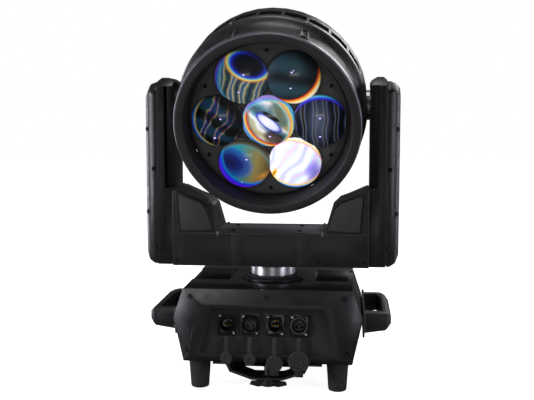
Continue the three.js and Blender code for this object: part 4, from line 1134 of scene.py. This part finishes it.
# %% [markdown]
# ## Lugs and vents of the head
# Two screw lugs bridge the neck between bezel and rim at the top, and two more at the bottom. Behind the vents a
# dark gauze keeps dust out.

# %% Neck lugs
bpy.ops.object.select_all(action="DESELECT")
bpy.ops.mesh.primitive_cube_add(size=1)
lug = bpy.context.object
lug.scale = (12 * MM, 50 * MM, 6 * MM)
bpy.ops.object.transform_apply(location=True, rotation=True, scale=True)
edit(lug, "FACE", lambda at, way: way.z > 0.9)
bpy.ops.mesh.inset(thickness=2.2 * MM)
bpy.ops.mesh.extrude_region_move(TRANSFORM_OT_translate={"value": (0, 0, -2.4 * MM)})
edit(lug, "FACE", lambda at, way: way.y < -0.9 and at.y < -24 * MM)
bpy.ops.transform.resize(value=(1.25, 1, 1))
close_edit()
paint(lug, moulded_abs, rubbed_abs_with_painted_highlight)
round_edges(lug, 0.7, 2, 28, 1)
lug_angles = (-23, 23, 157, -157)
spots = [HEAD @ Matrix.Rotation(math.radians(a), 4,
                                "Y") @ Matrix.Translation((0, -69 * MM, 129 * MM)) for a in lug_angles]
finish_piece(copies(lug, spots), "head_neck_lugs", "head")
screws = [spot @ Matrix.Translation((0, -12 * MM, 0.6 * MM)) for spot in spots]
finish_piece(copies(big_screw, screws), "head_neck_lug_screws", "head")
scrap(lug)

# %% Dust gauze behind the vents
gauze, tree = new_finish("black_woven_steel_gauze")
gauze_place = add_node(tree, "TexCoord").outputs["Object"]
WIRE_PITCH = 1.6 * MM  # a real gauze has 0.8 mm; drawn twice as coarse so that it shows
weave = add_node(tree, "TexChecker", inputs={
    "Vector": gauze_place, "Color1": linear("#0b0b0b"), "Color2": linear("#3a3a3c"), "Scale": 1 / WIRE_PITCH})
wire_bump = add_node(tree, "Bump", inputs={"Height": weave.outputs["Fac"], "Strength": 0.8,
                                           "Distance": 0.3 * MM})
wire = add_node(tree, "BsdfPrincipled", inputs={
    "Base Color": weave.outputs["Color"], "Metallic": 0.6, "Roughness": 0.5, "Normal": wire_bump.outputs[0]})
add_node(tree, "OutputMaterial", inputs={"Surface": wire.outputs[0]})
screen_wall = spun(forward([(131.2, 21), (132.4, 21), (132.4, -12), (131.2, -12)]), steps=96)
paint(screen_wall, gauze)
finish_piece(settle(screen_wall, HEAD), "head_vent_gauze", "head")
grille_disc = spun([(0, 109), (66, 109), (66, 110.2), (0, 110.2)], steps=48)
paint(grille_disc, gauze)
finish_piece(settle(grille_disc, HEAD), "fan_grille_gauze", "head")

# %% Screws round the rim
# Eight screws hold the rear cover to the drum.
rim_screws = [HEAD @ Matrix.Rotation(math.radians(a), 4, "Y") @ upright_on(Vector((0, -27.5, 138.6)) * MM,
    (0, 0, 1))
              for a in range(22, 382, 45)]
finish_piece(copies(small_screw, rim_screws), "head_rim_screws", "head")
cover_screws = [HEAD @ upright_on(Vector((86 * math.cos(a), 115, 86 * math.sin(a))) * MM, (0, 1, 0))
                for a in (math.radians(45 + 90 * i) for i in range(4))]
finish_piece(copies(big_screw, cover_screws), "head_rear_cover_screws", "head")

# %% [markdown]
# ## Display and buttons
# The rear panel has a small liquid-crystal screen under a glossy window. Its menu is generic bars with no words.
# The bars are a brick pattern that the backlight shines through.

# %% The screen
lcd, tree = new_finish("backlit_liquid_crystal_under_acrylic")
lcd_place = add_node(tree, "TexCoord").outputs["Object"]
lcd_upright = add_node(tree, "Mapping", {"vector_type": "TEXTURE"}, {
    "Vector": lcd_place, "Location": (-0.050, 0, 0.076), "Rotation": (math.radians(90), 0, 0)}).outputs[0]
bars = add_node(tree, "TexBrick", {"offset": 0.35, "offset_frequency": 2}, {
    "Vector": lcd_upright, "Color1": linear("#dfe9ff"), "Color2": linear("#7fa4ee"),
    "Mortar": linear("#10265e"),
    "Scale": 1 / (20 * MM), "Mortar Size": 0.10, "Brick Width": 1.1, "Row Height": 0.36})
crystal = add_node(tree, "BsdfPrincipled", inputs={
    "Base Color": bars.outputs["Color"], "Roughness": 0.3, "Coat Weight": 1.0, "Coat Roughness": 0.03,
    "Emission Color": bars.outputs["Color"], "Emission Strength": 0.35})
add_node(tree, "OutputMaterial", inputs={"Surface": crystal.outputs[0]})
screen = pad([(-11, 77), (49, 77), (49, 109), (-11, 109)], -102.9, 0.35, 0.15, lcd, lcd)
finish_piece(copies(screen, [TURN_BACK]), "display_screen", "base")
scrap(screen)

# %% Buttons with a dished top
BUTTONS = {"menu": (32, 101), "up": (52, 101), "down": (52, 83), "enter": (32, 83)}
for name, (x, z) in BUTTONS.items():
    key = spun([(0, 96.7), (6.7, 96.7), (6.7, 98.7), (5.2, 98.7), (5.2, 103.7), (4.6, 104.4), (3.9, 104.5),
                (2.2, 104.1), (0, 103.9)],
               steps=36)
    paint(key, rubber)
    settle(key, Matrix.Translation((x * MM, 0, z * MM)))
    finish_piece(key, name + "_button_moulded", name + "_button_body", [name + "_button"])

# %% [markdown]
# ## Stiffeners under the floor
# The housing's floor is thin sheet, so a folded lip stands behind each bracket. Its lower corners are clipped.

# %% Folded lips
lip = pad([(-40, 25), (40, 25), (56, 33), (56, 41.8), (-56, 41.8), (-56, 33)], -57.0, 1.5, 0.4, powder_coat,
          powder_edge_with_painted_highlight)
finish_piece(copies(lip, [Matrix.Identity(4), TURN_BACK]), "floor_stiffeners", "base")
scrap(lip)

# %% [markdown]
# ## Quick-lock springs
# A spring on each winged bolt keeps it from shaking loose. A small circle is carried up a helix by the Screw
# modifier, as wire is wound on a mandrel.

# %% Springs
for end, y in (("front", -79), ("rear", 79)):
    bpy.ops.object.select_all(action="DESELECT")
    bpy.ops.mesh.primitive_circle_add(vertices=10, radius=0.55 * MM, rotation=(math.radians(90), 0, 0))
    spring = bpy.context.object
    bpy.ops.object.transform_apply(location=True, rotation=True, scale=True)
    settle(spring, Matrix.Translation((7.6 * MM, 0, 11.3 * MM)))
    wind = spring.modifiers.new("wound_wire", "SCREW")
    wind.angle = 2 * math.pi * 3
    wind.screw_offset = 4.6 * MM
    wind.steps = 84
    wind.render_steps = 84
    wind.use_merge_vertices = True
    bpy.ops.object.modifier_apply(modifier=wind.name)
    bpy.ops.object.mode_set(mode="EDIT")
    bpy.ops.mesh.select_all(action="SELECT")
    bpy.ops.mesh.fill_holes(sides=12)
    bpy.ops.mesh.select_all(action="SELECT")
    bpy.ops.mesh.normals_make_consistent(inside=False)
    close_edit()
    bpy.ops.object.shade_smooth_by_angle(angle=math.radians(50))
    paint(spring, zinc)
    settle(spring, Matrix.Translation((0, y * MM, 0)))
    finish_piece(spring, f"quick_lock_spring_{end}", f"wing_bolt_{end}_body")

# %% [markdown]
# ## Toothed belts
# Each drive has a short neoprene belt. Its path is two half circles and the two straight runs that touch them. The
# path is one closed loop of edges, extruded to the belt's width, and Solidify gives it its thickness.


# %% A belt round two pulleys
def belt(first, second, width, thickness=1.4):
    """first and second are (x, y, radius) in millimetres, in a plane; the belt is extruded along Z."""
    (x0, y0, r0), (x1, y1, r1) = first, second
    span = math.hypot(x1 - x0, y1 - y0)
    heading = math.atan2(y1 - y0, x1 - x0)
    lean = math.acos((r0 - r1) / span)
    loop = []
    for cx, cy, r, start, end in ((x0, y0, r0, heading + lean, heading - lean + 2 * math.pi),
                                  (x1, y1, r1, heading - lean, heading + lean)):
        turns = 36 if r > 20 else 18
        loop += [Vector((cx + r * math.cos(a), cy + r * math.sin(a), 0)) * MM
                 for a in (start + (end - start) * i / turns for i in range(turns + 1))]
    bpy.ops.object.select_all(action="DESELECT")
    bpy.ops.mesh.primitive_plane_add(size=MM)
    piece = bpy.context.object
    bpy.ops.object.mode_set(mode="EDIT")
    bpy.ops.mesh.select_mode(type="VERT")
    bpy.ops.mesh.select_all(action="SELECT")
    bpy.ops.mesh.merge(type="CENTER")
    bpy.ops.transform.translate(value=loop[0])
    for here, there in zip(loop, loop[1:] + loop[:1]):
        bpy.ops.mesh.extrude_region_move(TRANSFORM_OT_translate={"value": there - here})
    bpy.ops.mesh.select_all(action="SELECT")
    bpy.ops.mesh.remove_doubles(threshold=2e-6)
    bpy.ops.mesh.select_all(action="SELECT")
    bpy.ops.mesh.extrude_region_move(TRANSFORM_OT_translate={"value": (0, 0, width * MM)})
    bpy.ops.mesh.select_all(action="SELECT")
    bpy.ops.mesh.normals_make_consistent(inside=False)
    close_edit()
    only(piece)
    wall = piece.modifiers.new("belt_thickness", "SOLIDIFY")
    wall.thickness = thickness * MM
    wall.offset = 1
    bpy.ops.object.modifier_apply(modifier=wall.name)
    bpy.ops.object.mode_set(mode="EDIT")
    bpy.ops.mesh.select_all(action="SELECT")
    bpy.ops.mesh.normals_make_consistent(inside=False)
    close_edit()
    bpy.ops.object.shade_smooth_by_angle(angle=math.radians(30))
    paint(piece, rubber)
    return piece


pan_belt = settle(belt((0, 0, 48.4), (85, 0, 12.4), 9), Matrix.Translation((0, 0, 113.5 * MM)))
finish_piece(pan_belt, "pan_toothed_belt", "base")
UPRIGHT_YZ = Matrix(((0, 0, 1, 0), (1, 0, 0, 0), (0, 1, 0, 0), (0, 0, 0, 1)))
tilt_belt = settle(belt((0, 407, 24.4), (0, 244, 10.4), 8),
                   Matrix.Translation((-169 * MM, 0, 0)) @ UPRIGHT_YZ)
finish_piece(tilt_belt, "tilt_toothed_belt", "yoke")

# %% [markdown]
# ## Power supply and wiring
# The supply is a perforated steel box on the base's floor. Looms run from it up through the hollow spindle, and
# through the bridge into the arms. They are clipped at both ends, so they are part of the inside and not cords.

# %% Power supply
bpy.ops.object.select_all(action="DESELECT")
bpy.ops.mesh.primitive_cube_add(size=1, location=(-0.060, -0.008, 0.0665))
supply = bpy.context.object
supply.scale = (0.078, 0.112, 0.034)
bpy.ops.object.transform_apply(location=True, rotation=True, scale=True)
edit(supply, "FACE", lambda at, way: way.z > 0.9)
bpy.ops.mesh.inset(thickness=2.5 * MM)
bpy.ops.mesh.extrude_region_move(TRANSFORM_OT_translate={"value": (0, 0, -1.0 * MM)})
bpy.ops.mesh.subdivide(number_cuts=7)
bpy.ops.mesh.inset(thickness=1.6 * MM, use_individual=True)
bpy.ops.mesh.extrude_region_shrink_fatten(TRANSFORM_OT_shrink_fatten={"value": -1.2 * MM})
close_edit()
round_edges(supply, 0.4, 1)
paint(supply, zinc)
finish_piece(supply, "power_supply", "base")

# %% Wiring looms
sleeve = grained("black_braided_polyester_sleeve", "#1b1b1d", "#2c2c30", 0.9, 0.25, (0.5, 0.7), cloud_mm=4)


def loom(name, path, diameter, body):
    """A smooth sleeve along a path of points in millimetres, made a mesh."""
    bpy.ops.object.select_all(action="DESELECT")
    bpy.ops.curve.primitive_nurbs_path_add()
    run = bpy.context.object
    line = run.data
    line.splines.clear()
    spline = line.splines.new("NURBS")
    spline.points.add(len(path) - 1)
    for point, place in zip(spline.points, path):
        point.co = (*(Vector(place) * MM), 1)
    spline.use_endpoint_u = True
    spline.order_u = 4
    line.bevel_depth = diameter * MM / 2
    line.bevel_resolution = 3
    line.use_fill_caps = True
    only(run)
    bpy.ops.object.convert(target="MESH")
    made = bpy.context.object
    bpy.ops.object.shade_smooth_by_angle(angle=math.radians(50))
    paint(made, sleeve)
    return finish_piece(made, name, body)


loom("base_wiring_loom", [(-60, -8, 84), (-60, -8, 94), (-50, -6, 102), (-20, -2, 98), (-3, 0, 98),
                          (0, 0, 104), (0, 0, 112), (0, 0, 130)],
     9, "base")
loom("yoke_wiring_loom", [(0, 0, 132), (0, 0, 160), (0, 0, 184), (-14, 0, 196), (-60, 0, 198), (-110, 0, 196),
                          (-139, 2, 200),
                          (-150, 20, 206), (-152, 34, 216), (-152, 36, 250)], 8, "yoke")
for name, x in (("signal_in", -56), ("power_in", 12)):
    loom(name + "_lead", [(x, -84, 99), (x, -78, 99), (x * 0.9, -74, 92), (-40 if x < 0 else -30, -68, 84),
                          (-40 if x < 0 else -30, -60, 78)],
         5, "base")

# %% Emitters
# Each emitter is a small yellow phosphor square in a pale frame.
phosphor = grained("yellow_phosphor_on_ceramic", "#e8c53c", "#f2da6a", 0.5, 0.02, (0.35, 0.5), cloud_mm=2)
bpy.ops.object.select_all(action="DESELECT")
bpy.ops.mesh.primitive_cube_add(size=1)
emitter = bpy.context.object
emitter.scale = (7 * MM, 1.2 * MM, 7 * MM)
bpy.ops.object.transform_apply(location=True, rotation=True, scale=True)
edit(emitter, "FACE", lambda at, way: way.y < -0.9)
bpy.ops.mesh.inset(thickness=1.3 * MM)
bpy.ops.mesh.extrude_region_move(TRANSFORM_OT_translate={"value": (0, -0.4 * MM, 0)})
close_edit()
round_edges(emitter, 0.15, 1)
paint(emitter, phosphor)
spots = [HEAD @ Matrix.Translation((r * MM * math.cos(math.radians(a)), -26.7 * MM,
                                    r * MM * math.sin(math.radians(a))))
         for r, a in [(0, 0)] + [(LENS_PITCH, 60 * i) for i in range(6)]]
finish_piece(copies(emitter, spots), "emitters", "head")
scrap(emitter)

# %% [markdown]
# ## Tidying up
# The visual model has to fill the same box as the CAD model.

# %% Take away the templates
scrap(big_screw, small_screw)
bpy.context.view_layer.update()
